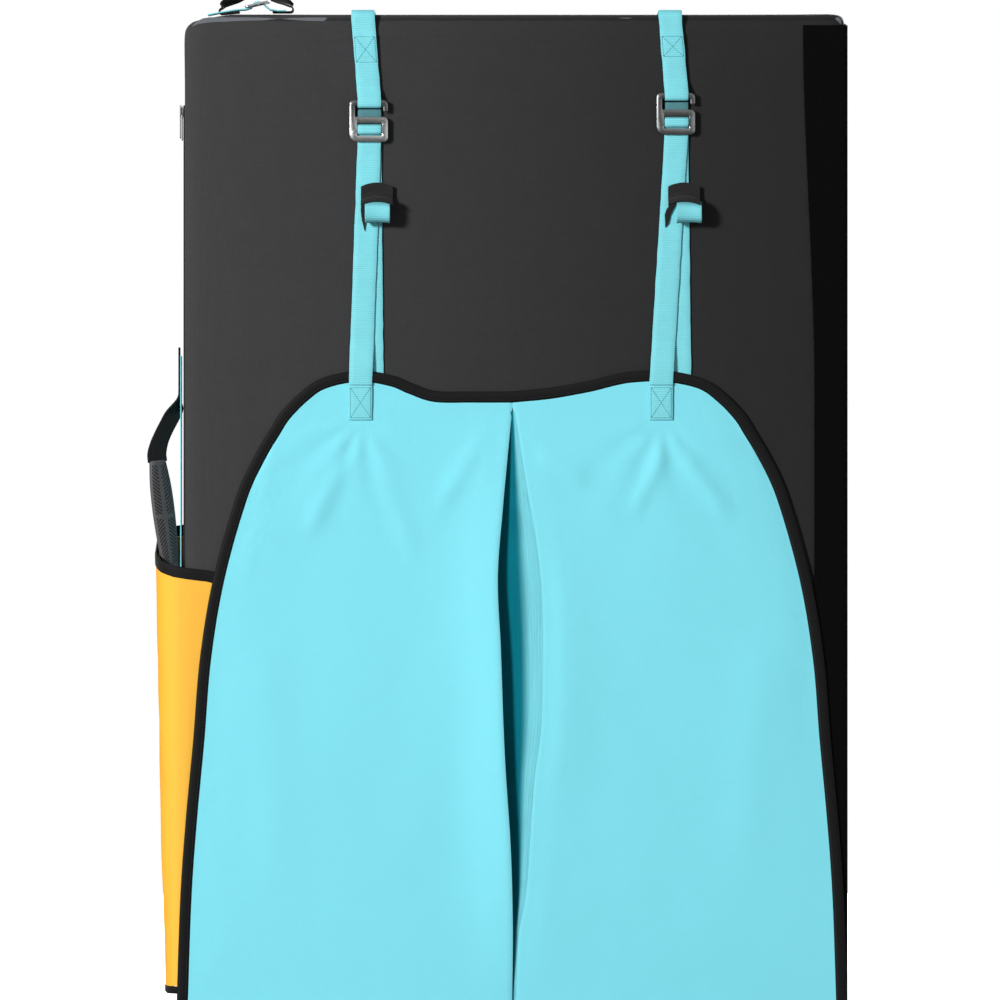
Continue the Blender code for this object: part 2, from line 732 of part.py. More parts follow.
def add_flap_panel(name, way, body, mats):
    """One panel of the flap, stretched between its side, top, pleat edge and the fold line."""
    low = FOLD_Z + FIT
    side = from_shares(SIDE_SHARES, way * FLAP_HALF_W, low)
    top = from_shares(TOP_SHARES, way * FLAP_HALF_W)
    shares = PLEAT_LEFT_SHARES if way < 0 else PLEAT_RIGHT_SHARES
    pleat = from_shares(shares, PLEAT_OPEN, low)
    tab_x = STRAPS["left" if way < 0 else "right"]["tab_x"]
    base = [side.at(0.0), pleat.at(0.0)]
    middle_y = (FLAP_IN_Y + FLAP_OUT_Y) / 2
    grid = []
    for i in range(FLAP_COLUMNS + 1):
        u = i / FLAP_COLUMNS
        column = []
        for j in range(FLAP_ROWS + 1):
            v = j / FLAP_ROWS
            low_point = base[0].lerp(base[1], u)
            flat = low_point.lerp(top.at(u), v) + side.at(v).lerp(pleat.at(v), u)
            flat -= base[0].lerp(base[1], u).lerp(side.at(1.0).lerp(pleat.at(1.0), u), v)
            inside = smoothed(min(u, 1 - u, v, 1 - v) * 6)
            rise = pucker(flat.x, flat.y, tab_x) * inside
            away = abs(flat.x - pleat.at(v).x) / PLEAT_LIFT_REACH
            lift = PLEAT_LIFT * math.sin(math.pi * v) * math.exp(-away) if way < 0 else 0.0
            column.append(Vector((flat.x + way * FIT * u, middle_y - rise - lift, flat.y)))
        grid.append(column)
    place(name, sheet(name, grid, FLAP_T), mats["teal"], body)


def add_flap_underlay(body, mats):
    """The pleat's underlay, between the two panels and the face."""
    low = BASE_T + FIT
    tuck = Vector((UNDERLAY_TUCK, 0))
    left = from_shares(PLEAT_LEFT_SHARES[:-1], PLEAT_OPEN, low).even(12)
    right = from_shares(PLEAT_RIGHT_SHARES[:-1], PLEAT_OPEN, low).even(12)
    outline = [tuple(p + tuck) for p in right] + [tuple(p - tuck) for p in reversed(left)]
    start = FACE_Y - FIT - UNDERLAY_T
    underlay = prism("flap_pleat_underlay", outline, [], UNDERLAY_T, lambda x, z, y: (x, start + y, z))
    place("flap_pleat_underlay", underlay, mats["teal"], body)


def flap_edge():
    """The flap's whole outer edge, from its low left end over the humps to its low right end."""
    low = FOLD_Z + FIT
    half = from_shares(SIDE_SHARES, -FLAP_HALF_W, low).even(FLAP_ROWS)
    half += from_shares(TOP_SHARES, -FLAP_HALF_W).even(FLAP_COLUMNS)[1:]
    other = [Vector((2 * FLAP_X - p.x, p.y)) for p in half[-2::-1]]
    return half + other


def add_flap_binding(body, mats):
    """Binding tape outside the flap's edge, as a band with rounded shoulders."""
    edge = flap_edge()
    rings = []
    for k, point in enumerate(edge):
        along = edge[min(k + 1, len(edge) - 1)] - edge[max(k - 1, 0)]
        if k in (0, len(edge) - 1):
            along = Vector((0, 1 if k == 0 else -1))
        out = Vector((-along.y, along.x)).normalized()
        shoulder = BINDING_T / 3
        profile = [
            (FIT, 0), (BINDING_W, 0), (BINDING_W, BINDING_T - shoulder),
            (BINDING_W - shoulder, BINDING_T), (FIT, BINDING_T),
        ]
        ring = []
        for reach, y in profile:
            at = point + out * reach
            ring.append(Vector((at.x, FLAP_IN_Y - y, at.y)))
        rings.append(ring)
    place("flap_binding", through_rings("flap_binding", rings), mats["black"], body)


def add_base_panel(body, mats):
    """The panel that carries the flap: up the back a little, then flat under both halves."""
    low = BASE_T / 2
    back_y = HALF_T + FIT + BASE_T / 2
    bend = EDGE_R + FIT + BASE_T / 2
    path = [(back_y, BASE_TAB_H)]
    path += arc((back_y - bend, low + bend), bend, 0, -90, 5)
    path += [(FLAP_IN_Y + FIT, low)]
    panel = strip("base_panel", yz(path, FLAP_X), 2 * FLAP_HALF_W, BASE_T)
    place("base_panel", panel, mats["teal"], body)


def wing_point(i, z):
    """The i-th point along the wing from its seam, at height z."""
    seam_x = SIDE_X - FIT - WING_T / 2
    front_y = FACE_Y - FIT - WING_T / 2
    rise = min(max((z - WING_LOW_Z) / WING_RISE, 0.0), 1.0)
    bulge = WING_BULGE_LOW + (WING_BULGE_TOP - WING_BULGE_LOW) * rise
    reach = FLAP_X - flap_side(z) - SIDE_X
    path = [(seam_x, WING_SEAM_Y), (seam_x, WING_SEAM_Y - WING_FLAT)]
    path += [(seam_x - bulge * a, HALF_T * b) for a, b in WING_SIDE_SHARES]
    path += [(SIDE_X + reach * share, front_y) for share in WING_FRONT_SHARES]
    return Vector((*path[i], z))


def wing_band(name, low, high, rows, mat, body):
    """A band of the wing between the heights low(i) and high(i) along it."""
    grid = []
    for i in range(len(WING_TOP_SHARES)):
        span = high(i) - low(i)
        grid.append([wing_point(i, low(i) + span * j / rows) for j in range(rows + 1)])
    place(name, sheet(name, grid, WING_T), mat, body)


def add_wing(body, mats):
    def top(i):
        return WING_LOW_Z + WING_RISE * WING_TOP_SHARES[i]

    def level(z):
        return lambda i: z

    def above(rise):
        return lambda i: top(i) + rise

    yellow, black = mats["yellow"], mats["black"]
    wing_band("wing_panel", level(WING_LOW_Z), top, WING_ROWS, yellow, body)
    wing_band("wing_top_binding", above(FIT), above(WING_BINDING_W), 1, black, body)
    hem_low = WING_LOW_Z - WING_HEM
    wing_band("wing_hem_binding", level(hem_low), level(WING_LOW_Z - FIT), 1, black, body)


def threading(hook_z):
    """The lower webbing's way through the buckle, from the load strand round to the tail."""
    slope = [(PLATE_Y + y, z) for y, z in THREAD_POINTS]
    across = slope + [(y, -z) for y, z in reversed(slope)]
    turn = arc(((LOAD_Y + TAIL_Y) / 2, TAIL_TOP), LAYER / 2, 180, 0, 4)
    return [(y, z + hook_z) for y, z in across + turn]


def lower_strap(strap):
    """Load strand from the flap's top edge, round the webbing bar, and the tail behind the flap."""
    threaded = threading(strap["hook_z"])
    over_z = FLAP_TOP + BINDING_W + OVERRUN
    start_z = TAB_HIGH_Z + FIT
    strand = [(OVER_BINDING_Y, start_z), (OVER_BINDING_Y, over_z), (LOAD_Y, STRAP_SETTLE_Z)]
    tab_x, hook_x = strap["tab_x"], strap["hook_x"]
    path = []
    for y, z in strand:
        share = (z - start_z) / (threaded[0][1] - start_z)
        path.append(Vector((tab_x + (hook_x - tab_x) * share, y, z)))
    path += yz(threaded, hook_x)
    path.append(Vector((hook_x, TAIL_Y, strap["hook_z"] - HOOK_FRAME_HALF_H)))
    path.append(Vector((strap["tail_x"], TAIL_Y, TAIL_END_Z)))
    return path


def roll_centre_y():
    return LOAD_Y - WEB_T / 2 - FIT - ROLL_D / 2


def add_roll(side, strap, body, mats):
    """Surplus webbing wound up: an oval spiral that lies on the load strand."""
    half_h = (ROLL_H - WEB_T) / 2
    flat = (ROLL_D - WEB_T) / (ROLL_H - WEB_T)
    steps = round(ROLL_TURNS * ROLL_STEPS)
    pairs = []
    for k in range(steps + 1):
        share = k / steps
        radius = half_h * (ROLL_CORE_SHARE + (1 - ROLL_CORE_SHARE) * share)
        angle = 2 * math.pi * ROLL_TURNS * (1 - share)
        y = roll_centre_y() + flat * radius * math.cos(angle)
        pairs.append((y, ROLL_Z + radius * math.sin(angle)))
    points = yz(pairs, strap["roll_x"])
    half_turn = ROLL_STEPS // 2
    gaps = [(a - b).length for i, a in enumerate(points) for b in points[i + half_turn :]]
    print(f"strap_roll_{side}: least gap to itself {(min(gaps) - WEB_T) * 1000:.2f} mm")
    name = f"strap_roll_{side}"
    place(name, strip(name, points, WEB_W, WEB_T), mats["teal"], body)


def add_keeper(side, strap, body, mats):
    """Black keeper: a band from the load strand over the roll, and its pointed end beside it."""
    strand_y = LOAD_Y - WEB_T / 2 - FIT - KEEPER_T / 2
    over = FIT + KEEPER_T
    high = ROLL_Z + ROLL_H / 2 + over + KEEPER_RISE
    path = [(strand_y, high), (strand_y, high - 2 * KEEPER_RISE / 3)]
    for k in range(KEEPER_STEPS + 1):
        angle = math.radians(KEEPER_START_DEG + (KEEPER_END_DEG - KEEPER_START_DEG) * k / KEEPER_STEPS)
        y = roll_centre_y() + (ROLL_D / 2 + over) * math.cos(angle)
        path.append((y, ROLL_Z + (ROLL_H / 2 + over) * math.sin(angle)))
    name = f"strap_keeper_{side}"
    band = strip(name, yz(path, strap["keeper_x"]), KEEPER_W, KEEPER_T)
    keeper = place(name, band, mats["black"], body)
    outline = [(strap["keeper_x"] + x, ROLL_Z + z) for x, z in strap["tongue"]]
    extra = FIT / 3
    start = strand_y - KEEPER_T / 2 - extra
    tongue = prism(f"tongue_{side}", outline, [], KEEPER_T + 2 * extra, lambda a, b, y: (a, start + y, b))
    join(keeper, place(f"tongue_{side}", tongue, mats["black"], body))


def add_hook(side, strap, body, mats):
    """Open hook buckle: a plate with two slots, a rising arm and the bar that ends in a nub."""
    frame = HOOK_FRAME_HALF_H
    bar_low = HOOK_TOP - HOOK_BAR_H
    arm_in = -HOOK_LEFT + HOOK_ARM_W
    nub_in = HOOK_RIGHT - HOOK_NUB_W
    outline = filleted([
        (-HOOK_LEFT, -frame, HOOK_TOE_R), (HOOK_RIGHT, -frame, HOOK_ROUND_R),
        (HOOK_RIGHT, frame, HOOK_ROUND_R),
        (arm_in, frame, HOOK_INNER_R), (arm_in, bar_low, HOOK_INNER_R), (nub_in, bar_low, HOOK_INNER_R),
        (nub_in, HOOK_NUB_END, HOOK_NUB_W / 3), (HOOK_RIGHT, HOOK_NUB_END, HOOK_NUB_W / 3),
        (HOOK_RIGHT, HOOK_TOP, HOOK_ROUND_R), (-HOOK_LEFT, HOOK_TOP, HOOK_ROUND_R),
    ])
    slots = []
    for low in (HOOK_MID_HALF_H, -HOOK_MID_HALF_H - HOOK_SLOT_H):
        slots.append(rounded_bar(-HOOK_SLOT_HALF_W, HOOK_SLOT_HALF_W, low, low + HOOK_SLOT_H, HOOK_INNER_R))
    x0, z0 = strap["hook_x"], strap["hook_z"]
    front = PLATE_Y - HOOK_T / 2
    plate = prism(f"hook_buckle_{side}", outline, slots, HOOK_T, lambda a, b, y: (x0 + a, front + y, z0 + b))
    bevel(place(f"hook_buckle_{side}", plate, mats["metal"], body), HOOK_EDGE_R, segments=1)


def drop_path(strap):
    """Upper webbing down the face: its loop round the hook's bar, sewn up to the box stitch."""
    z0 = strap["hook_z"]
    bar_low = z0 + HOOK_TOP - HOOK_BAR_H
    turn_z = bar_low - FIT - WEB_T / 2 + LOOP_R - 2 * FIT
    close_z = z0 + HOOK_TOP + LOOP_CLOSE_RISE
    points = [(TAIL_Y, BOX_STITCH_TOP_Z), (TAIL_Y, close_z), (PLATE_Y + LOOP_R, z0 + HOOK_TOP)]
    points += arc((PLATE_Y, turn_z), LOOP_R, 0, -180, 6)
    points += [(PLATE_Y - LOOP_R, z0 + HOOK_TOP), (LOAD_Y, close_z), (LOAD_Y, BOX_STITCH_TOP_Z)]
    points += [(TAIL_Y, BOX_STITCH_TOP_Z + 3 * WEB_T), (TAIL_Y, PAD_H - EDGE_R - FIT)]
    span = points[-1][1] - points[2][1]
    path = []
    for y, z in points:
        share = min(max((z - points[2][1]) / span, 0.0), 1.0)
        path.append(Vector((strap["hook_x"] + (strap["top_x"] - strap["hook_x"]) * share, y, z)))
    return path


def add_closing_strap(side, strap, bodies, mats):
    def webbing(name, path, body, x=None):
        points = path if x is None else yz(path, x)
        name = f"{name}_{side}"
        place(name, strip(name, points, WEB_W, WEB_T), mats["teal"], bodies[body])

    x = strap["top_x"]
    bend = EDGE_R + FIT + WEB_T / 2
    over = arc((FACE_Y + EDGE_R, PAD_H - EDGE_R), bend, 180, 90, 4)
    over += arc((HALF_T - EDGE_R, PAD_H - EDGE_R), bend, 90, 0, 4)
    webbing("closing_strap_top", over, f"strap_top_{side}", x)
    high = PAD_H - EDGE_R - FIT
    back_y = HALF_T + FIT + WEB_T / 2
    anchor = [(back_y, high), (back_y, high - STRAP_ANCHOR_H)]
    webbing("closing_strap_anchor", anchor, "back_half", x)
    webbing("closing_strap_drop", drop_path(strap), f"strap_drop_{side}")
    webbing("closing_strap_lower", lower_strap(strap), f"strap_lower_{side}")
    tab_y = FLAP_OUT_Y - FIT - WEB_T / 2
    webbing("strap_tab", [(tab_y, TAB_LOW_Z), (tab_y, TAB_HIGH_Z)], "flap", strap["tab_x"])
    add_roll(side, strap, bodies[f"strap_lower_{side}"], mats)
    add_keeper(side, strap, bodies[f"strap_lower_{side}"], mats)
    add_hook(side, strap, bodies[f"hook_{side}"], mats)


def grip_frame():
    """The grip's top and length, and its directions along, across and out of its face."""
    top = Vector((GRIP_TOP[0], SIDE_HANDLE_Y, GRIP_TOP[1]))
    end = Vector((GRIP_END[0], SIDE_HANDLE_Y, GRIP_END[1]))
    along = (end - top).normalized()
    yaw = math.radians(GRIP_YAW_DEG)
    across = Vector((math.cos(yaw), math.sin(yaw), 0.0))
    across = (across - along * across.dot(along)).normalized()
    return top, (end - top).length, along, across, along.cross(across).normalized()


def add_grip(body, mats):
    """Moulded grip with herringbone slots on both faces, which turn round at its middle."""
    top, length, along, across, out = grip_frame()

    def at(a, b, c):
        return top + across * a + along * b + out * c

    rings = []
    for share, width in GRIP_WIDTH_SHARES:
        half_w = GRIP_W * width / 2
        outline = rounded_bar(-half_w, half_w, -GRIP_T / 2, GRIP_T / 2, GRIP_ROUND_R)
        rings.append([at(a, length * share, c) for a, c in outline])
    grip = place("side_handle_grip", through_rings("side_handle_grip", rings), mats["grip"], body)

    lean = math.radians(GRIP_SLOT_DEG)
    cuboid = [(0, 1, 2, 3), (4, 5, 6, 7), (0, 1, 5, 4), (1, 2, 6, 5), (2, 3, 7, 6), (3, 0, 4, 7)]
    verts, faces = [], []
    places = [(face, half, k, hand) for face in (-1, 1) for half in (-1, 1)
              for k in range(GRIP_CHEVRONS) for hand in (-1, 1)]
    for face, half, k, hand in places:
        b0 = length / 2 + half * (GRIP_CHEVRON_FREE + k * GRIP_SLOT_PITCH)
        step = Vector((math.cos(lean), half * math.sin(lean)))
        thick = Vector((-step.y, step.x)) * GRIP_SLOT_W / 2
        start = Vector((GRIP_SPINE_GAP / 2, b0 - half * GRIP_SLOT_L * math.sin(lean) / 2))
        finish = start + step * GRIP_SLOT_L
        corners = [start - thick, finish - thick, finish + thick, start + thick]
        first = len(verts)
        for c in (GRIP_T / 2 - GRIP_SLOT_DEPTH, GRIP_T / 2 + OVERRUN):
            verts += [at(hand * p.x, p.y, face * c) for p in corners]
        faces += [tuple(first + i for i in quad) for quad in cuboid]
    cut(grip, place("grip_slots", closed_mesh("grip_slots", verts, faces), mats["grip"], body))


def add_side_handle(front, body, mats):
    """Turquoise backing on the front half's side, the grip and the webbing at both its ends."""
    y = SIDE_HANDLE_Y
    backing_x = SIDE_X - FIT - WEB_T / 2
    over_x = backing_x - WEB_T / 2 - FIT - BLACK_WEB_T / 2
    wide = Vector((0, 1, 0))
    path = [Vector((backing_x, y, z)) for z in (BACKING_HIGH_Z, BACKING_LOW_Z)]
    backing = strip("side_handle_backing", path, WEB_W, WEB_T, wide)
    place("side_handle_backing", backing, mats["teal"], front)
    top, length, along, turned, out = grip_frame()

    def webbing(name, sewn_z, free_z, reach):
        way = 1 if reach > 0 else -1
        end = top + along * (reach + way * HANDLE_STRAIGHT)
        path = [Vector((over_x, y, z)) for z in (sewn_z, (sewn_z + free_z) / 2, free_z)]
        across = [wide, wide, wide]
        for share in HANDLE_TWIST_SHARES:
            x = over_x + (end.x - over_x) * smoothed(share)
            path.append(Vector((x, y, free_z + (end.z - free_z) * share)))
            turn = smoothed((share - HANDLE_FLAT_SHARE) / (1 - HANDLE_FLAT_SHARE))
            across.append(wide.lerp(turned, turn).normalized())
        path.append(top + along * (reach + way * FIT))
        across.append(turned)
        place(name, strip(name, path, WEB_W * HANDLE_WEB_SHARE, BLACK_WEB_T, across), mats["black"], body)

    webbing("side_handle_upper_webbing", HANDLE_SEWN_TOP_Z, HANDLE_FREE_TOP_Z, 0.0)
    webbing("side_handle_lower_webbing", HANDLE_SEWN_LOW_Z, HANDLE_FREE_LOW_Z, length)
    add_grip(body, mats)


def add_top_fittings(front, handle, mats):
    """Black handle, and a turquoise adjusting strap with its slider, on top of the front half."""
    wide = Vector((0, 1, 0))
    low = PAD_H + FIT + BLACK_WEB_T / 2
    r = TOP_HANDLE_FOLD_R
    left, right = TOP_HANDLE_LEFT_X, TOP_HANDLE_RIGHT_X
    middle = (left + right) / 2
    crest = low + 2 * r
    shoulder_z = low + TOP_HANDLE_RISE * TOP_SHOULDER_SHARE
    arch = Curve([
        (left + r, crest), ((left * 3 + right) / 4, shoulder_z), (middle, low + TOP_HANDLE_RISE),
        ((left + right * 3) / 4, shoulder_z), (right - r, crest),
    ])
    crown = [tuple(p) for p in arch.even(TOP_ARCH_STEPS)]
    points = [(left + TOP_HANDLE_FOOT, low)] + arc((left + r, low + r), r, -90, -270, 4)[:-1]
    points += crown
    points += arc((right - r, low + r), r, 90, -90, 4)[1:] + [(right - TOP_HANDLE_FOOT, low)]
    path = [Vector((x, TOP_HANDLE_Y, z)) for x, z in points]
    webbing = strip("top_handle_webbing", path, WEB_W, BLACK_WEB_T, wide)
    place("top_handle_webbing", webbing, mats["black"], handle)
    grip_path = []
    for k in range(TOP_GRIP_FROM, TOP_ARCH_STEPS - TOP_GRIP_FROM + 1):
        along = Vector(crown[k + 1]) - Vector(crown[k - 1])
        out = Vector((-along.y, along.x)).normalized() * (BLACK_WEB_T / 2 + 2 * FIT + TOP_GRIP_T / 2)
        grip_path.append(Vector((crown[k][0] + out.x, TOP_HANDLE_Y, crown[k][1] + out.y)))
    grip = strip("top_handle_grip", grip_path, WEB_W + TOP_GRIP_T, TOP_GRIP_T, wide)
    bevel(place("top_handle_grip", grip, mats["grip"], handle), TOP_GRIP_T / 4, segments=1)

    tilt = math.radians(TOP_SLIDER_DEG)
    ahead = Vector((math.cos(tilt), 0, math.sin(tilt)))
    up = Vector((-math.sin(tilt), 0, math.cos(tilt)))
    centre = Vector((TOP_SLIDER_X, TOP_STRAP_Y, PAD_H + TOP_SLIDER_LIFT))
    half_l, half_w = TOP_SLIDER_L / 2, TOP_SLIDER_W / 2
    outline = rounded_bar(-half_l, half_l, -half_w, half_w, TOP_SLIDER_RAIL)
    holes = []
    for way in (-1, 1):
        a = sorted((way * TOP_SLIDER_BAR / 2, way * (half_l - TOP_SLIDER_BAR)))
        rail = half_w - TOP_SLIDER_RAIL
        holes.append(rounded_bar(a[0], a[1], -rail, rail, TOP_SLIDER_RAIL / 4))

    def lay(a, b, c):
        return centre + ahead * a + wide * b + up * (c - TOP_SLIDER_T / 2)

    plate = prism("top_slider", outline, holes, TOP_SLIDER_T, lay)
    bevel(place("top_slider", plate, mats["metal"], front), TOP_SLIDER_T / 6, segments=1)

    base_z = PAD_H + FIT + WEB_T / 2
    over = TOP_SLIDER_T / 2 + FIT + WEB_T / 2
    gap = (half_l - TOP_SLIDER_BAR + TOP_SLIDER_BAR / 2) / 2
    left_x, right_x = TOP_STRAP_LEFT_X, TOP_STRAP_RIGHT_X
    path = [Vector((left_x, TOP_STRAP_Y, base_z))]
    path.append(Vector(((left_x + TOP_SLIDER_X - half_l) / 2, TOP_STRAP_Y, base_z)))
    bar = TOP_SLIDER_BAR / 2
    through = [
        (-half_l, -over * TOP_DIP_SHARE), (-gap - WEB_T, -over), (-gap, 0), (-bar, over), (bar, over),
        (gap, 0), (gap + WEB_T, -over),
    ]
    path += [centre + ahead * a + up * c for a, c in through]
    path.append(Vector((TOP_SLIDER_X + half_l, TOP_STRAP_Y, base_z + WEB_T)))
    path.append(Vector(((TOP_SLIDER_X + half_l + right_x) / 2, TOP_STRAP_Y, base_z)))
    path.append(Vector((right_x, TOP_STRAP_Y, base_z)))
    place("top_strap", strip("top_strap", path, WEB_W, WEB_T, wide), mats["teal"], front)


def add_shoulder_strap(side, way, body, back, mats):
    """Padded strap bowed off the back, its adjuster, the lower webbing and that one's anchor."""
    x = way * SHOULDER_X
    root_y = HALF_T + FIT + YOKE_T + FIT + SHOULDER_T / 2
    path = []
    for k in range(SHOULDER_STEPS + 1):
        share = k / SHOULDER_STEPS
        free = min(max((k - 1) / (SHOULDER_STEPS - 2), 0.0), 1.0)
        bow = SHOULDER_BOW * max(math.sin(math.pi * free), 0.0) ** SHOULDER_BOW_SHARE
        drop = (SHOULDER_TOP_Z - SHOULDER_END_Z) * share
        path.append(Vector((x, root_y + bow, SHOULDER_TOP_Z - drop)))
    name = f"shoulder_strap_{side}"
    pad = strip(name, path, SHOULDER_W, SHOULDER_T)
    bevel(place(name, pad, mats["black"], body), SHOULDER_EDGE_R, segments=2, angle=60)

    half_w, half_h = ADJUSTER_W / 2, ADJUSTER_H / 2
    middle_z = SHOULDER_END_Z - FIT - half_h
    outline = rounded_bar(x - half_w, x + half_w, middle_z - half_h, middle_z + half_h, ADJUSTER_RAIL / 2)
    slots = []
    inside = half_w - ADJUSTER_RAIL
    for low, high in [(ADJUSTER_BAR / 2, half_h - ADJUSTER_BAR), (ADJUSTER_BAR - half_h, -ADJUSTER_BAR / 2)]:
        low, high = middle_z + low, middle_z + high
        slots.append(rounded_bar(x - inside, x + inside, low, high, ADJUSTER_RAIL / 4))
    start = root_y - ADJUSTER_T / 2
    name = f"shoulder_adjuster_{side}"
    plate = prism(name, outline, slots, ADJUSTER_T, lambda a, b, y: (a, start + y, b))
    bevel(place(name, plate, mats["plastic"], body), ADJUSTER_T / 8, segments=1)

    low_y = HALF_T + FIT + WEB_T / 2
    behind = start - FIT - WEB_T / 2
    over = start + ADJUSTER_T + FIT + WEB_T / 2
    top_z = LOWER_ANCHOR_LOW_Z + LOWER_ANCHOR_H
    slot = (half_h - ADJUSTER_BAR / 2) / 2
    bar = ADJUSTER_BAR / 2
    through = [
        (behind, -half_h - WEB_T), (behind, -slot - WEB_T), (root_y, -slot), (over, -bar), (over, bar),
        (root_y, slot), (behind, slot + WEB_T), (behind, half_h - FIT),
    ]
    points = [(low_y, top_z + FIT), (low_y, top_z + WEB_W)] + [(y, middle_z + z) for y, z in through]
    name = f"shoulder_webbing_{side}"
    place(name, strip(name, yz(points, x), WEB_W, WEB_T), mats["black"], back)
    half = LOWER_ANCHOR_W / 2
    low_z = LOWER_ANCHOR_LOW_Z
    outline = [(x - half, low_z), (x + half, low_z), (x + WEB_W / 2, top_z), (x - WEB_W / 2, top_z)]
    name = f"shoulder_anchor_{side}"
    anchor = prism(name, outline, [], YOKE_T, lambda a, b, y: (a, HALF_T + FIT + y, b))
    place(name, anchor, mats["black"], back)


def add_hip_belt(side, way, body, mats):
    """One half of the hip belt, laid flat across the back, with its part of the buckle."""
    y = HALF_T + FIT + BLACK_WEB_T / 2
    outer, inner = HIP_END_X + BUCKLE_L, HIP_END_X
    path = [Vector((way * HIP_SEAM_X, y, HIP_Z)), Vector((way * (outer + FIT), y, HIP_Z))]
    name = f"hip_belt_{side}"
    place(name, strip(name, path, HIP_W, BLACK_WEB_T, Vector((0, 0, 1))), mats["black"], body)
    low, high = HIP_Z - BUCKLE_W / 2, HIP_Z + BUCKLE_W / 2
    start = HALF_T + FIT
    if way < 0:
        quarter = BUCKLE_W / 4
        outline = [(outer, low), (outer, high), (inner, high)]
        for centre in (HIP_Z + quarter, HIP_Z, HIP_Z - quarter):
            outline += [
                (inner, centre + PRONG_W / 2), (inner - PRONG_L, centre + PRONG_W / 4),
                (inner - PRONG_L, centre - PRONG_W / 4), (inner, centre - PRONG_W / 2),
            ]
        outline += [(inner, low)]
        thick = BUCKLE_T * PLUG_SHARE
        plug = prism("hip_buckle_plug", outline, [], thick, lambda a, b, c: (way * a, start + c, b))
        bevel(place("hip_buckle_plug", plug, mats["plastic"], body), BUCKLE_T / 12, segments=1)
    else:
        outline = rounded_bar(inner, outer, low, high, BUCKLE_ROUND_R)
        shape = prism("hip_buckle_socket", outline, [], BUCKLE_T, lambda a, b, c: (way * a, start + c, b))
        socket = place("hip_buckle_socket", shape, mats["plastic"], body)
        wall = BUCKLE_T / 5
        low, high = low + BUCKLE_ROUND_R, high - BUCKLE_ROUND_R
        mouth = rounded_bar(inner - OVERRUN, inner + PRONG_L + OVERRUN, low, high, OVERRUN / 4)
        depth = BUCKLE_T - 2 * wall
        hollow = prism("socket_mouth", mouth, [], depth, lambda a, b, c: (way * a, start + wall + c, b))
        cut(socket, place("socket_mouth", hollow, mats["plastic"], body))


def add_yoke(back, mats):
    half = YOKE_W / 2
    radius = (YOKE_HIGH_Z - YOKE_LOW_Z) / 5
    outline = rounded_bar(-half, half, YOKE_LOW_Z, YOKE_HIGH_Z, radius)
    yoke = prism("shoulder_yoke", outline, [], YOKE_T, lambda a, b, y: (a, HALF_T + FIT + y, b))
    place("shoulder_yoke", yoke, mats["black"], back)


def make_bodies():
    """Empties on the joint axes; the pieces hang on them."""
    back = pivot("back_half", (0, 0, 0))
    front = pivot("front_half", (-SIDE_X + HINGE_CLEARANCE, 0, 0), back)
    flap = pivot("flap", (0, FOLD_Y, FOLD_Z), back)
    bodies = {"back_half": back, "front_half": front, "flap": flap}
    bodies["wing"] = pivot("wing", (SIDE_X, WING_AXIS_Y, 0), back)
    handle_x = SIDE_X - WEB_T - 2 * FIT
    bodies["side_handle"] = pivot("side_handle", (handle_x, SIDE_HANDLE_Y, 0), front)
    bend_z = PAD_H + FIT + BLACK_WEB_T / 2 + TOP_HANDLE_FOLD_R
    bodies["top_handle"] = pivot("top_handle", (0, TOP_HANDLE_Y, bend_z), front)
    for side, strap in STRAPS.items():
        lower = pivot(f"strap_lower_{side}", (strap["tab_x"], -STRAP_FLIP_Y, STRAP_FLIP_Z), flap)
        bodies[f"strap_lower_{side}"] = lower
        toe = (strap["hook_x"], PLATE_Y, strap["hook_z"] - HOOK_FRAME_HALF_H)
        bodies[f"hook_{side}"] = pivot(f"hook_{side}", toe, lower)
        top = pivot(f"strap_top_{side}", (strap["top_x"], HALF_T + FIT + WEB_T / 2, PAD_H - EDGE_R), back)
        bodies[f"strap_top_{side}"] = top
        edge = (strap["top_x"], TAIL_Y, PAD_H - EDGE_R)
        bodies[f"strap_drop_{side}"] = pivot(f"strap_drop_{side}", edge, top)
    for side, way in (("left", -1), ("right", 1)):
        root_y = HALF_T + 2 * FIT + YOKE_T + SHOULDER_T / 2
        top = (way * SHOULDER_X, root_y, SHOULDER_TOP_Z)
        bodies[f"shoulder_{side}"] = pivot(f"shoulder_{side}", top, back)
        seam = (way * HIP_SEAM_X, HALF_T + FIT + BLACK_WEB_T / 2, 0)
        bodies[f"hip_{side}"] = pivot(f"hip_{side}", seam, back)
    return bodies


def main():
    clear_scene()
    mats = make_materials()
    bodies = make_bodies()
    back, front, flap = bodies["back_half"], bodies["front_half"], bodies["flap"]
    add_half("back", 1, back, mats)
    add_half("front", -1, front, mats)
    add_hinge_fold(back, mats)
    add_joining_strip(front, mats)
    add_base_panel(back, mats)
    add_flap_panel("flap_left_panel", -1, flap, mats)
    add_flap_panel("flap_right_panel", 1, flap, mats)
    add_flap_underlay(flap, mats)
    add_flap_binding(flap, mats)
    add_wing(bodies["wing"], mats)
    for side, strap in STRAPS.items():
        add_closing_strap(side, strap, bodies, mats)
    add_side_handle(front, bodies["side_handle"], mats)
    add_top_fittings(front, bodies["top_handle"], mats)
    add_yoke(back, mats)
    for side, way in (("left", -1), ("right", 1)):
        add_shoulder_strap(side, way, bodies[f"shoulder_{side}"], back, mats)
        add_hip_belt(side, way, bodies[f"hip_{side}"], mats)


main()
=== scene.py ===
"""Looks of the folded bouldering crash pad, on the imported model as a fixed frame.

Metres, +Z up. The face with the closing flap looks towards -Y, the shoulder straps towards +Y.
"""

import math

import bpy
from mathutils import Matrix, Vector, noise


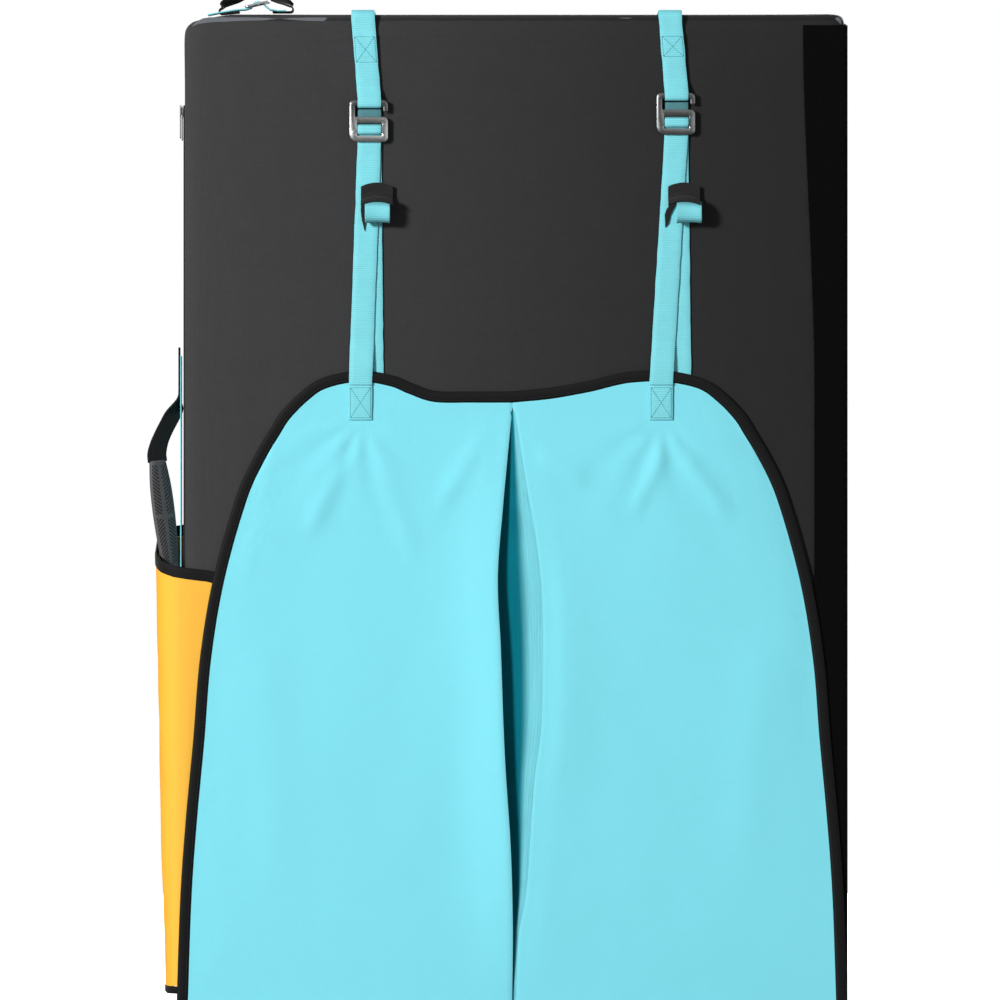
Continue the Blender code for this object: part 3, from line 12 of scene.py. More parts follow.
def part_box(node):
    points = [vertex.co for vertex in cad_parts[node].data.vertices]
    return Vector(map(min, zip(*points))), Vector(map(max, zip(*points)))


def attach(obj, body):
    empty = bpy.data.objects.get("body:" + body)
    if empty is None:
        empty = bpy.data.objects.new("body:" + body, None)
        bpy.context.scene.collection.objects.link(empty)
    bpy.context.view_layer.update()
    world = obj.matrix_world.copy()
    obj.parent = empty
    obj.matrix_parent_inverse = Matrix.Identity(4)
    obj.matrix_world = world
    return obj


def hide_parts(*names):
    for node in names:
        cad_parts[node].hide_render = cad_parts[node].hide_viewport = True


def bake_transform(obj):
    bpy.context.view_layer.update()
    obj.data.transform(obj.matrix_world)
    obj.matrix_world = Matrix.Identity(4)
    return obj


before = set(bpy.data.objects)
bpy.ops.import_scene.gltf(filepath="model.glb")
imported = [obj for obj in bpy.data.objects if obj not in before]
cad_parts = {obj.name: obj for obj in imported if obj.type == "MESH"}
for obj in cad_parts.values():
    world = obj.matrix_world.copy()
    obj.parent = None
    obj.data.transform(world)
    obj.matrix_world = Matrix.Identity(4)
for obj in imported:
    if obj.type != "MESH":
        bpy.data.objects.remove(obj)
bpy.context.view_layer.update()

bl_info = {
    "name": "Bouldering crash pad",
    "version": (1, 0, 0),
    "blender": (4, 5, 0),
    "location": "3D View > Sidebar > Crash pad",
    "description": "Builds the cloth, webbing, fittings and finishes of a folded crash pad",
    "category": "Object",
}

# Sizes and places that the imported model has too
FIT = 0.0003
PAD_W, PAD_H, HALF_T = 0.711, 1.067, 0.127
SIDE_X, FACE_Y = -PAD_W / 2, -HALF_T
EDGE_R, CORNER_R, SOFT_CORNER_R = 0.007, 0.0085, 0.028
COVER_LOW_Z = 0.0025
COVER_SWELL, COVER_VOXEL = 0.0024, 0.008
JOIN_T, JOIN_LOW_Z, JOIN_TOP_Z = 0.0015, 0.010, 1.052
JOIN_LEFT_X, JOIN_LEAN, JOIN_LEAN_Z = 0.3195, 0.012, 0.665
FLAP_X, FLAP_HALF_W, FLAP_TOP = -0.0027, 0.346, 0.672
FLAP_T = 0.0016
FLAP_IN_Y = FACE_Y - FIT - JOIN_T - FIT
FLAP_OUT_Y = FLAP_IN_Y - FLAP_T
FOLD_Z = 0.0012
BASE_T = 0.0022
BINDING_W, BINDING_T = 0.0115, 0.0026
PLEAT_OPEN, PLEAT_TUCK = 0.032, 0.024
BASE_RISE = 0.045
WEB_W, WEB_T, BLACK_WEB_T = 0.025, 0.0014, 0.0018
LAYER = WEB_T + FIT
HOOK_T, HOOK_TOP, HOOK_BAR_H, HOOK_LOW = 0.0032, 0.0310, 0.0060, 0.0133
TAIL_Y = FACE_Y - FIT - WEB_T / 2
LOAD_Y = TAIL_Y - LAYER
PLATE_Y = LOAD_Y - WEB_T / 2 - FIT - HOOK_T / 2
OVER_BINDING_Y = FLAP_IN_Y - BINDING_T - FIT - WEB_T / 2
TAB_LOW_Z, TAB_HIGH_Z, TAIL_END_Z, LOAD_LOW_Z = 0.631, 0.668, 0.640, 0.715
LOOP_CLOSED_Z, LOOP_R, LOOP_NECK, ANCHOR_L = 1.0404, 0.0030, 0.013, 0.068
ROLL_Z, ROLL_H, ROLL_D, ROLL_TURNS = 0.8533, 0.0288, 0.0185, 3.0
KEEPER_HALF_W, KEEPER_SAG = 0.017, 0.0042
STRAP_CURL, HOOK_BEND = 0.040, 0.003
SIDE_HANDLE_Y = -0.086
GRIP_TOP, GRIP_END = (-0.3820, 0.588), (-0.3675, 0.472)
GRIP_YAW_DEG, GRIP_HALF_W, GRIP_HALF_T = 22.0, 0.0125, 0.00425
BACKING_TOP_Z, BACKING_LOW_Z = 0.700, 0.395
TOP_HANDLE_Y, TOP_STRAP_Y = -0.066, -0.1045
TOP_HANDLE_LEFT, TOP_HANDLE_RIGHT, TOP_HANDLE_R, TOP_HANDLE_RISE = -0.316, -0.237, 0.003, 0.040
TOP_STRAP_LEFT, TOP_STRAP_RIGHT = -0.3275, -0.2440
SLIDER_X, SLIDER_HALF_L, SLIDER_T, SLIDER_BAR, SLIDER_TILT_DEG = -0.2745, 0.0135, 0.0024, 0.0040, 13.0
WING_LOW_Z, WING_RISE, WING_T = 0.0275, 0.490, 0.0015
WING_SEAM_Y, WING_LOW_BULGE, WING_TOP_BULGE, WING_FLAT_W = 0.108, 0.016, 0.0275, 0.345
YOKE_T, YOKE_SEAM_X, YOKE_SEAM_LOW_Z, YOKE_SEAM_TOP_Z = 0.002, 0.146, 0.794, 0.861
SHOULDER_X, SHOULDER_TOP_Z, SHOULDER_LOW_Z, SHOULDER_T, SHOULDER_BOW = 0.100, 0.845, 0.420, 0.012, 0.034
SHOULDER_ROWS = 48
ADJUSTER_HALF_H, ADJUSTER_BAR, ADJUSTER_T = 0.015, 0.0025, 0.0055
ANCHOR_TOP_Z = 0.205
HIP_W, HIP_Z, HIP_OUT_X, HIP_IN_X = 0.038, 0.098, 0.190, 0.074
STITCH_INSET, TAB_STITCH_INSET, THREAD_RISE = 0.0018, 0.0025, 0.0001
MERGE = 0.00002
ALUMINIUM = (0.50, 0.52, 0.52)
CAMERA_DISTANCE, VIEW_WIDTH, SENSOR_MM = 12.0, 1.066, 36.0
TO_FRONT, TO_BACK, TO_RIGHT = Vector((0, -1, 0)), Vector((0, 1, 0)), Vector((1, 0, 0))

# The face's top edge sinks towards its soft left corner
TOP_SLOPE_DROP, TOP_SLOPE_X, TOP_SLOPE_W = 0.0078, 0.295, 0.058
SLOPE_CORNER_R = 0.013

# Places and widths given as shares of the flap, its pleat, the grip and the wing
SIDE_SHARES = [
    (1.0, 0.0), (0.988, 0.18), (0.971, 0.305), (0.948, 0.432), (0.928, 0.558), (0.887, 0.685),
    (0.818, 0.812), (0.763, 0.875), (0.716, 0.916),
]
TOP_SHARES = [
    (0.716, 0.916), (0.688, 0.939), (0.636, 0.967), (0.575, 0.989), (0.471, 1.0), (0.376, 0.993),
    (0.318, 0.981), (0.24, 0.968), (0.12, 0.967), (0.0, 0.967),
]
TOP_RIGHT_SHARES = [
    (0.716, 0.916), (0.688, 0.939), (0.636, 0.967), (0.575, 0.989), (0.471, 1.0), (0.376, 0.999),
    (0.318, 0.994), (0.24, 0.984), (0.12, 0.973), (0.0, 0.967),
]
PLEAT_SHARES = {
    -1: [(-0.03, 0.0), (0.0, 0.13), (-0.07, 0.26), (-0.27, 0.41), (-0.40, 0.575), (-0.50, 0.69),
         (-0.33, 0.80), (-0.10, 0.918), (0.0, 0.967)],
    1: [(0.10, 0.0), (0.20, 0.12), (0.47, 0.197), (0.70, 0.355), (0.97, 0.465), (1.0, 0.638),
        (0.80, 0.745), (0.47, 0.835), (0.10, 0.945), (0.0, 0.967)],
}
GRIP_WIDTH_SHARES = [
    (0.0, 0.72), (0.06, 0.86), (0.2, 0.97), (0.45, 1.0), (0.7, 0.94), (0.9, 0.80), (1.0, 0.68),
]
WING_SIDE_SHARES = [
    (0.45, 0.62), (0.85, 0.46), (1.0, 0.22), (1.0, -0.12), (1.0, -0.45), (0.98, -0.74),
    (0.75, -0.90), (0.26, -0.985),
]
WING_TOP_SHARES = [0.985, 0.98, 0.975, 0.965, 0.955, 0.945, 0.93, 0.915, 0.90, 0.89, 0.885, 0.88, 0.87]

# Soft ridges of the flap's cloth: start, end, width and height
FLAP_CREASES = [
    ((-0.020, 0.640), (-0.090, 0.520), 0.010, 0.0016),
    ((0.020, 0.600), (0.085, 0.560), 0.010, 0.0018),
    ((0.165, 0.610), (0.120, 0.520), 0.008, 0.0020),
    ((0.175, 0.600), (0.235, 0.520), 0.009, 0.0018),
    ((-0.175, 0.600), (-0.225, 0.500), 0.010, 0.0018),
    ((-0.150, 0.600), (-0.100, 0.470), 0.012, 0.0014),
    ((0.060, 0.520), (0.050, 0.200), 0.030, 0.0012),
    ((-0.060, 0.450), (-0.110, 0.120), 0.034, 0.0012),
    ((-0.270, 0.430), (-0.250, 0.080), 0.026, 0.0012),
    ((0.270, 0.430), (0.240, 0.100), 0.026, 0.0012),
]

# The webbing's way over and under the hook's bars, from the hook's middle
THREAD_POINTS = [
    (0.0026, -0.0090), (0.0026, -0.0069), (0.0016, -0.0052), (0.0, -0.0047), (-0.0016, -0.0042),
    (-0.0026, -0.0029), (-0.0026, -0.0018),
]

# Each strap's last pair of shares is painted shade: its hook's brightness below and above its arm.
STRAPS = {
    "left": {"tab_x": -0.1642, "hook_x": -0.1546, "top_x": -0.1615, "hook_z": 0.9407,
             "tail_x": -0.1516, "roll_x": -0.1460, "keeper_x": -0.1467, "stitch": (1.0125, 1.0395),
             "hook_tones": (0.74, 0.22)},
    "right": {"tab_x": 0.1562, "hook_x": 0.1727, "top_x": 0.1660, "hook_z": 0.9484,
              "tail_x": 0.1764, "roll_x": 0.1860, "keeper_x": 0.1806, "stitch": (1.0185, 1.0400),
              "hook_tones": (0.36, 0.24)},
}


def rgb(red, green, blue):
    """A colour given as the screen's 0 to 255, as the shader's linear values."""
    out = []
    for value in (red / 255, green / 255, blue / 255):
        out.append(value / 12.92 if value <= 0.04045 else ((value + 0.055) / 1.055) ** 2.4)
    return tuple(out)


class Value:
    """A number's socket in a material: sums and products of such values add their Math nodes."""

    def __init__(self, look, socket):
        self.look = look
        self.socket = socket

    def combined(self, operation, *others):
        return self.look.math(operation, self, *others)

    def __add__(self, other):
        return self.combined("ADD", other)

    __radd__ = __add__

    def __mul__(self, other):
        return self.combined("MULTIPLY", other)

    __rmul__ = __mul__

    def __sub__(self, other):
        return self.combined("SUBTRACT", other)

    def __rsub__(self, other):
        return self.look.math("SUBTRACT", other, self)

    def __truediv__(self, other):
        return self.combined("DIVIDE", other)

    def __pow__(self, other):
        return self.combined("POWER", other)


class Look:
    """One material and the few ways in which its nodes are added."""

    def __init__(self, name):
        self.material = bpy.data.materials.new(name)
        self.material.use_nodes = True
        self.nodes = self.material.node_tree.nodes
        self.links = self.material.node_tree.links
        self.shader = self.nodes["Principled BSDF"]

    def feed(self, socket, value):
        if isinstance(value, Value):
            self.links.new(value.socket, socket)
        elif isinstance(value, bpy.types.NodeSocket):
            self.links.new(value, socket)
        elif isinstance(value, tuple) and len(value) == 3 and socket.type == "RGBA":
            socket.default_value = (*value, 1.0)
        else:
            socket.default_value = value

    def node(self, kind, settings, inputs):
        """A node of that type, its settings first, then the values or links of its sockets."""
        node = self.nodes.new(kind)
        for key, value in settings.items():
            setattr(node, key, value)
        for key, value in inputs.items():
            self.feed(node.inputs[key], value)
        return node

    def math(self, operation, *values):
        node = self.node("ShaderNodeMath", {"operation": operation}, dict(enumerate(values)))
        return Value(self, node.outputs[0])

    def sine(self, value):
        return self.math("SINE", value)

    def size(self, value):
        return self.math("ABSOLUTE", value)

    def step(self, value, low, high, start=0.0, end=1.0):
        """start below low, end above high, and a smooth change between them."""
        sockets = {0: value, 1: low, 2: high, 3: start, 4: end}
        node = self.node("ShaderNodeMapRange", {"interpolation_type": "SMOOTHSTEP"}, sockets)
        return Value(self, node.outputs[0])

    def axes(self, kind):
        """The parts of a coordinate: kind is Object or UV."""
        coordinate = self.node("ShaderNodeTexCoord", {}, {}).outputs[kind]
        split = self.node("ShaderNodeSeparateXYZ", {}, {0: coordinate})
        return [Value(self, out) for out in split.outputs]

    def point(self, x, y, z):
        return self.node("ShaderNodeCombineXYZ", {}, {0: x, 1: y, 2: z}).outputs[0]

    def noise(self, vector, scale, detail=3.0, roughness=0.55):
        sockets = {"Vector": vector, "Scale": scale, "Detail": detail, "Roughness": roughness}
        node = self.node("ShaderNodeTexNoise", {}, sockets)
        return Value(self, node.outputs["Fac"])

    def mix(self, factor, first, second, blend="MIX"):
        settings = {"data_type": "RGBA", "blend_type": blend}
        return self.node("ShaderNodeMix", settings, {0: factor, 6: first, 7: second}).outputs[2]

    def toned(self, colour, level):
        """A colour times a grey level."""
        grey = self.node("ShaderNodeCombineColor", {}, {0: level, 1: level, 2: level}).outputs[0]
        return self.mix(1.0, colour, grey, "MULTIPLY")

    def bump(self, height, distance, strength=1.0, normal=None):
        sockets = {"Strength": strength, "Distance": distance, "Height": height}
        if normal is not None:
            sockets["Normal"] = normal
        return self.node("ShaderNodeBump", {}, sockets).outputs["Normal"]

    def finish(self, **sockets):
        """Feeds the shader's sockets, named with _ for a space, and gives the material."""
        for key, value in sockets.items():
            self.feed(self.shader.inputs[key.replace("_", " ")], value)
        return self.material


def shade(colour, share):
    """A colour made darker, or lighter where share is over 1."""
    return tuple(c * share for c in colour)


def woven_look(name, colour, pitch, kind="Object", mottle=0.10, sheen=0.15, seams=None, streak=0.06,
               tone=None, second=None, gloss=0.25):
    """Plain woven cloth: crossing threads, slubs along both, soft clouds and creases.

    pitch is the width of two threads; tone is painted light, a change of brightness over the cloth,
    second is another colour and its share, and seams gives the grooves of sewn joins.
    """
    look = Look(name)
    x, y, z = look.axes(kind)
    turn = 2 * math.pi / pitch
    sines = [look.sine(axis * turn) for axis in (x, y, z)]
    if kind == "UV":
        weave = sines[0] * sines[1]
        place = look.point(x, y, 0.0)
        warp, weft = look.point(x * 12, y, 0.0), look.point(x, y * 12, 0.0)
    else:
        weave = sines[0] * sines[2] + sines[1] * sines[2] + sines[0] * sines[1]
        place = look.point(x, y, z)
        warp, weft = look.point(x * 12, y * 12, z), look.point(x, y, z * 12)
    slubs = look.noise(warp, 60, 2.0) + look.noise(weft, 60, 2.0) - 1.0
    clouds = look.noise(place, 7, 3.0)
    fine = look.noise(place, 420, 2.0)
    level = 1.0 + slubs * streak * 3 + (clouds - 0.5) * mottle + (fine - 0.5) * mottle * 1.5
    level = level + weave * streak * 0.7
    # Painted light: tone brightens or darkens the cloth across it, as the lamp's light falls.
    if tone:
        level = level * tone(look, x)
    surface = look.toned(colour, level)
    if second:
        other, share = second
        surface = look.mix(share(look, x), other, surface)
    height = weave * 0.5 + slubs * 0.8 + fine * 0.4
    normal = look.bump(height, 0.00018, 0.65)
    creases = look.noise(place, 16, 4.0, 0.6)
    normal = look.bump(creases, 0.0022, 0.35, normal)
    if seams:
        groove = seams(look, x, y, z)
        surface = look.mix(groove * 0.55, surface, shade(colour, 0.25))
        normal = look.bump(1.0 - groove, 0.0011, 0.8, normal)
    roughness = 0.80 + (fine - 0.5) * 0.2 + (clouds - 0.5) * 0.1
    return look.finish(Base_Color=surface, Roughness=roughness, Normal=normal, Sheen_Weight=sheen,
                       Sheen_Roughness=0.45, Specular_IOR_Level=gloss)


def webbing_look(name, colour, width, ribs=0.0019, strength=1.0, lines=True, gloss=0.35, shaded=None,
                 rolled=False):
    """Woven webbing on a UV map in metres: ribs across it, fine warp threads and firm edges.

    shaded is a height above which the webbing lies in the hook's slot and is painted dark, as shade;
    rolled paints shade on a coil's top, under the keeper, and on its underside.
    """
    look = Look(name)
    across, along, _ = look.axes("UV")
    rib = look.size(look.sine(along * math.pi / ribs)) ** 0.6
    warp = look.size(look.sine(across * math.pi / 0.0011))
    edge = look.size(across - width / 2)
    selvedge = look.step(edge, width / 2 - 0.0022, width / 2 - 0.0012)
    place = look.point(across, along, 0.0)
    cloud = look.noise(place, 35, 3.0)
    fine = look.noise(look.point(across * 3, along, 0.0), 700, 2.0)
    level = 0.86 + rib * 0.16 * strength + (warp - 0.5) * 0.05 + (cloud - 0.5) * 0.20
    level = level + (fine - 0.5) * 0.16 - selvedge * 0.05
    height = rib * 0.9 + warp * 0.3 + fine * 0.25
    if lines:
        track = look.size(edge - width / 2 + 0.0046)
        groove = look.step(track, 0.0002, 0.0009, 1.0, 0.0)
        level = level - groove * 0.08
        height = height - groove * 0.8
    surface = look.toned(colour, level)
    # Painted shade: the webbing is painted dark where it lies in the hook's slot.
    if shaded:
        upright = look.axes("Object")[2]
        surface = look.mix(look.step(upright, shaded, shaded + 0.003), surface, shade(colour, 0.30))
    # Painted shade: the coil is painted darker on its top, under the keeper, and on its underside.
    if rolled:
        upright = look.axes("Object")[2] - ROLL_Z
        low = look.step(upright, -ROLL_H / 2, -ROLL_H / 5, 0.30, 1.0)
        lit = low * look.step(upright, ROLL_H / 8, ROLL_H / 3, 1.0, 0.55)
        surface = look.toned(surface, lit)
    normal = look.bump(height, 0.00030, 0.7 * strength)
    normal = look.bump(cloud, 0.0010, 0.4, normal)
    roughness = 0.62 + (fine - 0.5) * 0.25
    return look.finish(Base_Color=surface, Roughness=roughness, Normal=normal, Sheen_Weight=gloss * 0.3,
                       Specular_IOR_Level=gloss)


def pile_look(name, colour):
    """The loop side of hook-and-loop tape: a short rough pile."""
    look = Look(name)
    x, y, z = look.axes("Object")
    place = look.point(x, y, z)
    loops = look.noise(place, 900, 4.0, 0.7)
    tufts = look.noise(place, 240, 3.0, 0.6)
    flecks = look.step(loops * 0.6 + tufts * 0.4, 0.56, 0.66)
    surface = look.mix(flecks, colour, shade(colour, 2.4))
    normal = look.bump(loops + tufts, 0.0009, 1.0)
    return look.finish(Base_Color=surface, Roughness=0.95 - flecks * 0.1, Normal=normal,
                       Sheen_Weight=0.04, Specular_IOR_Level=0.03)


def metal_look(name, colour, darker=None):
    """Brushed aluminium: fine lines one way, worn spots and faint scratches.

    darker is painted shade: two heights and the share of brightness below the first and above the second.
    """
    look = Look(name)
    x, y, z = look.axes("Object")
    brushed = look.noise(look.point(x, y, z * 40), 160, 4.0, 0.7)
    worn = look.noise(look.point(x, y, z), 90, 4.0)
    scratch = look.step(look.noise(look.point(x * 9, y * 9, z * 2), 130, 2.0), 0.66, 0.72)
    level = 0.86 + (brushed - 0.5) * 0.35 + (worn - 0.5) * 0.2
    # Painted shade: the metal is painted darker by height, as the hook's light and shade.
    if darker:
        low_z, high_z, below, above = darker
        level = level * (below + (above - below) * look.step(z, low_z, high_z))
    surface = look.toned(colour, level)
    roughness = 0.34 + (brushed - 0.5) * 0.3 + scratch * 0.12
    normal = look.bump(brushed - scratch * 0.5, 0.00006, 0.7)
    return look.finish(Base_Color=surface, Metallic=1.0, Roughness=roughness, Normal=normal)


def moulded_look(name, colour, grain, roughness):
    """Moulded rubber or plastic: a spark-eroded grain with painted shade in its hollows, and rubbed spots.
    """
    look = Look(name)
    x, y, z = look.axes("Object")
    place = look.point(x, y, z)
    grains = look.noise(place, grain, 3.0, 0.6)
    rubbed = look.noise(place, 45, 3.0)
    # Painted shade: the grain is painted darker in its hollows.
    level = 0.9 + (grains - 0.5) * 0.25 + (rubbed - 0.5) * 0.35
    surface = look.toned(colour, level)
    normal = look.bump(grains, 0.00012, 0.8)
    rough = roughness + (rubbed - 0.5) * 0.25 + (grains - 0.5) * 0.1
    return look.finish(Base_Color=surface, Roughness=rough, Normal=normal)


def grip_look(name, colour):
    """Rubber with herringbone slots either side of a spine; they point the other way below its middle."""
    look = Look(name)
    across, along, _ = look.axes("UV")
    x, y, z = look.axes("Object")
    middle_z = 0.0600
    way = look.step(along, middle_z, middle_z + 0.0004, 1.0, -1.0)
    slant = along + look.size(across) * way * 0.85
    comb = look.sine(slant * 2 * math.pi / 0.0039)
    slots = look.step(comb, -0.1, 0.35)
    spine = look.step(look.size(across), 0.0009, 0.0014)
    rim = look.step(look.size(across), 0.0088, 0.0096, 1.0, 0.0)
    ends = look.step(look.size(along - 0.0585), 0.0525, 0.0540, 1.0, 0.0)
    middle = look.step(look.size(along - middle_z), 0.0022, 0.0030)
    slots = slots * spine * rim * ends * middle
    grains = look.noise(look.point(x, y, z), 1100, 3.0, 0.6)
    rubbed = look.noise(look.point(x, y, z), 60, 3.0)
    # Painted shade: the slots are painted near black, as the shade inside them.
    surface = look.mix(slots, colour, shade(colour, 0.10))
    surface = look.mix(rubbed * 0.3, surface, shade(colour, 0.6))
    normal = look.bump(grains, 0.00010, 0.8)
    normal = look.bump(1.0 - slots, 0.0012, 1.0, normal)
    return look.finish(Base_Color=surface, Roughness=0.60 + (grains - 0.5) * 0.2, Normal=normal,
                       Specular_IOR_Level=0.3)


def foam_look(name, colour, cell):
    """Cut foam: open or closed cells of one size."""
    look = Look(name)
    x, y, z = look.axes("Object")
    place = look.point(x, y, z)
    cells = look.node("ShaderNodeTexVoronoi", {}, {"Vector": place, "Scale": 1 / cell})
    depth = Value(look, cells.outputs["Distance"])
    cloud = look.noise(place, 12, 3.0)
    level = 0.75 + look.step(depth, 0.1, 0.5) * 0.3 + (cloud - 0.5) * 0.1
    surface = look.toned(colour, level)
    normal = look.bump(depth, cell * 0.4, 0.8)
    return look.finish(Base_Color=surface, Roughness=0.95 - depth * 0.05, Normal=normal)


def spline_point(p0, p1, p2, p3, t):
    """The point at share t from p1 to p2, on a smooth curve through all four."""
    bend = 2 * p0 - 5 * p1 + 4 * p2 - p3
    last = 3 * p1 - p0 - 3 * p2 + p3
    return (2 * p1 + (p2 - p0) * t + bend * t**2 + last * t**3) / 2


class Curve:
    """A smooth curve through points, read by its share of length."""

    def __init__(self, points, fine=12):
        pts = [Vector(p) for p in points]
        ends = [2 * pts[0] - pts[1], *pts, 2 * pts[-1] - pts[-2]]
        self.points = [pts[0]]
        for i in range(1, len(ends) - 2):
            for k in range(1, fine + 1):
                self.points.append(spline_point(*ends[i - 1 : i + 3], k / fine))
        self.reach = [0.0]
        for a, b in zip(self.points, self.points[1:]):
            self.reach.append(self.reach[-1] + (b - a).length)

    def at(self, share):
        goal = min(max(share, 0.0), 1.0) * self.reach[-1]
        for k in range(1, len(self.points)):
            if self.reach[k] >= goal or k == len(self.points) - 1:
                span = self.reach[k] - self.reach[k - 1]
                return self.points[k - 1].lerp(self.points[k], (goal - self.reach[k - 1]) / span)

    def even(self, count):
        return [self.at(k / count) for k in range(count + 1)]


def smoothed(value):
    """0 to 1 with a soft start and end; values outside are held."""
    value = min(max(value, 0.0), 1.0)
    return value * value * (3 - 2 * value)


def arc(centre, radius, start_deg, end_deg, steps):
    """Points of an arc in a plane."""
    points = []
    for k in range(steps + 1):
        angle = math.radians(start_deg + (end_deg - start_deg) * k / steps)
        points.append((centre[0] + radius * math.cos(angle), centre[1] + radius * math.sin(angle)))
    return points


def yz(points, x=0.0):
    """Points given by y and z, at one x."""
    return [Vector((x, y, z)) for y, z in points]


def refined(path, step=0.004):
    """The same path with its long stretches divided."""
    out = [path[0]]
    for a, b in zip(path, path[1:]):
        parts = max(1, math.ceil((b - a).length / step))
        out += [a.lerp(b, k / parts) for k in range(1, parts + 1)]
    return out


def select_only(obj):
    """Selects one object and makes it active."""
    bpy.ops.object.select_all(action="DESELECT")
    obj.select_set(True)
    bpy.context.view_layer.objects.active = obj


def grid(name, columns, rows, place, measure=None):
    """A grid primitive with its points put by place(u, v) and a UV map in metres by measure(u, v)."""
    bpy.ops.object.select_all(action="DESELECT")
    bpy.ops.mesh.primitive_grid_add(x_subdivisions=columns, y_subdivisions=rows, size=1.0)
    obj = bpy.context.object
    obj.name = name
    obj.data.name = name
    shares = [(vert.co.x + 0.5, vert.co.y + 0.5) for vert in obj.data.vertices]
    for vert, (u, v) in zip(obj.data.vertices, shares):
        vert.co = place(u, v)
    if measure:
        layer = obj.data.uv_layers.active.data
        for loop in obj.data.loops:
            layer[loop.index].uv = measure(*shares[loop.vertex_index])
    return obj


def apply_modifier(obj, kind, **settings):
    """Adds a modifier, sets it and applies it."""
    mod = obj.modifiers.new(kind.lower(), kind)
    for key, value in settings.items():
        setattr(mod, key, value)
    bpy.context.view_layer.objects.active = obj
    bpy.ops.object.modifier_apply(modifier=mod.name)


def outward(obj):
    """Turns all faces outwards."""
    select_only(obj)
    bpy.ops.object.mode_set(mode="EDIT")
    bpy.ops.mesh.select_all(action="SELECT")
    bpy.ops.mesh.normals_make_consistent(inside=False)
    bpy.ops.object.mode_set(mode="OBJECT")
    return obj


def thicken(obj, thickness):
    """Gives a sheet its thickness, half of it to each side."""
    apply_modifier(obj, "SOLIDIFY", thickness=thickness, offset=0.0)
    return outward(obj)


def ribbon(name, path, width, thickness, across=Vector((1, 0, 0)), columns=4, cup=0.0, step=0.004):
    """Webbing along a path, with a UV map in metres; across is one direction or one a point."""
    if isinstance(across, list):
        sides = across
    else:
        path = refined(path, step)
        sides = [across] * len(path)
    reach = [0.0]
    for a, b in zip(path, path[1:]):
        reach.append(reach[-1] + (b - a).length)
    rows = len(path) - 1

    def place(u, v):
        i = round(v * rows)
        uneven = 1.0 + 0.035 * noise.noise(path[i] * 90)
        side = sides[i].normalized() * uneven
        along = path[min(i + 1, rows)] - path[max(i - 1, 0)]
        out = along.cross(side).normalized()
        return path[i] + side * width * (u - 0.5) + out * cup * (4 * (u - 0.5) ** 2)

    def measure(u, v):
        return (u * width, reach[round(v * rows)])

    obj = grid(name, columns, rows, place, measure)
    apply_modifier(obj, "SOLIDIFY", thickness=thickness, offset=0.0)
    apply_modifier(obj, "BEVEL", width=thickness * 0.28, segments=2, limit_method="ANGLE",
                   angle_limit=math.radians(60))
    return outward(obj)


def stitches(name, lines, lift, colour_look, length=0.0024, gap=0.0010, width=0.00055):
    """Thread dashes along lines of two points; lift is the way out of the cloth."""
    verts, faces = [], []
    rise = lift.normalized() * width * 0.55
    for start, end in lines:
        along = end - start
        count = max(1, round(along.length / (length + gap)))
        pitch = along / count
        along = along.normalized()
        side = along.cross(lift).normalized() * width / 2
        half = along * length / 2
        for k in range(count):
            middle = start + pitch * (k + 0.5)
            first = len(verts)
            for a, lower in ((-1, 0.2), (-0.6, 1), (0.6, 1), (1, 0.2)):
                centre = middle + half * a + rise * (lower - 0.5)
                verts += [centre - side, centre + side, centre + rise * lower]
            for ring in range(3):
                for j in range(3):
                    a, b = first + ring * 3 + j, first + ring * 3 + (j + 1) % 3
                    faces.append((a, b, b + 3, a + 3))
            faces += [(first + 2, first + 1, first), (first + 9, first + 10, first + 11)]
    mesh = bpy.data.meshes.new(name)
    mesh.from_pydata([tuple(v) for v in verts], [], faces)
    obj = bpy.data.objects.new(name, mesh)
    bpy.context.scene.collection.objects.link(obj)
    outward(obj)
    obj.data.materials.append(colour_look)
    return obj


def sew(name, lines, lift, look, body, slot, **sizes):
    """Stitches that ride a body."""
    obj = stitches(name, lines, lift, look, **sizes)
    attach(obj, body)


def finish_piece(obj, look, body, node, angle=35.0):
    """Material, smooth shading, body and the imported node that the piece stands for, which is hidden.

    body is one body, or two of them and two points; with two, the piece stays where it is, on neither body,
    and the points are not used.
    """
    obj.data.materials.clear()
    obj.data.materials.append(look)
    select_only(obj)
    bpy.ops.object.shade_smooth_by_angle(angle=math.radians(angle))
    if isinstance(body, tuple):
        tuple(body[2])
        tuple(body[3])
        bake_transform(obj)
    else:
        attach(obj, body)
    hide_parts(node)


def repaint(node, look):
    """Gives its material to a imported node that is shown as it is."""
    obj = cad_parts[node]
    for slot in obj.material_slots:
        slot.material = look
    if not obj.material_slots:
        obj.data.materials.append(look)


LOOKS = {}


def cover_seams(look, x, y, z):
    """Sewn joins near the face's edges, where the side strips meet the face."""
    wave = (look.noise(look.point(x, 0.0, 0.0), 22, 2.0) - 0.5) * 0.004
    top = look.step(look.size(z - (PAD_H - 0.0085) - wave), 0.0006, 0.0020, 1.0, 0.0)
    low = look.step(look.size(z - (COVER_LOW_Z + 0.009)), 0.0006, 0.0016, 1.0, 0.0)
    left = look.step(look.size(x - (SIDE_X + 0.0045)), 0.0005, 0.0014, 1.0, 0.0)
    face = look.step(look.size(y), HALF_T - 0.009, HALF_T - 0.005)
    side_top = look.step(look.size(look.size(y) - HALF_T + 0.011), 0.0005, 0.0015, 1.0, 0.0)
    return look.math("MINIMUM", (top + low + left * 0.4) * face + side_top * 0.5, 1.0)


def cover_painted_light(look, x):
    """Painted light: the cloth is painted brighter on the left, towards the key lamp, and darker towards the
    right.
    """
    return look.step(x, -0.40, 0.36, 1.42, 0.55)


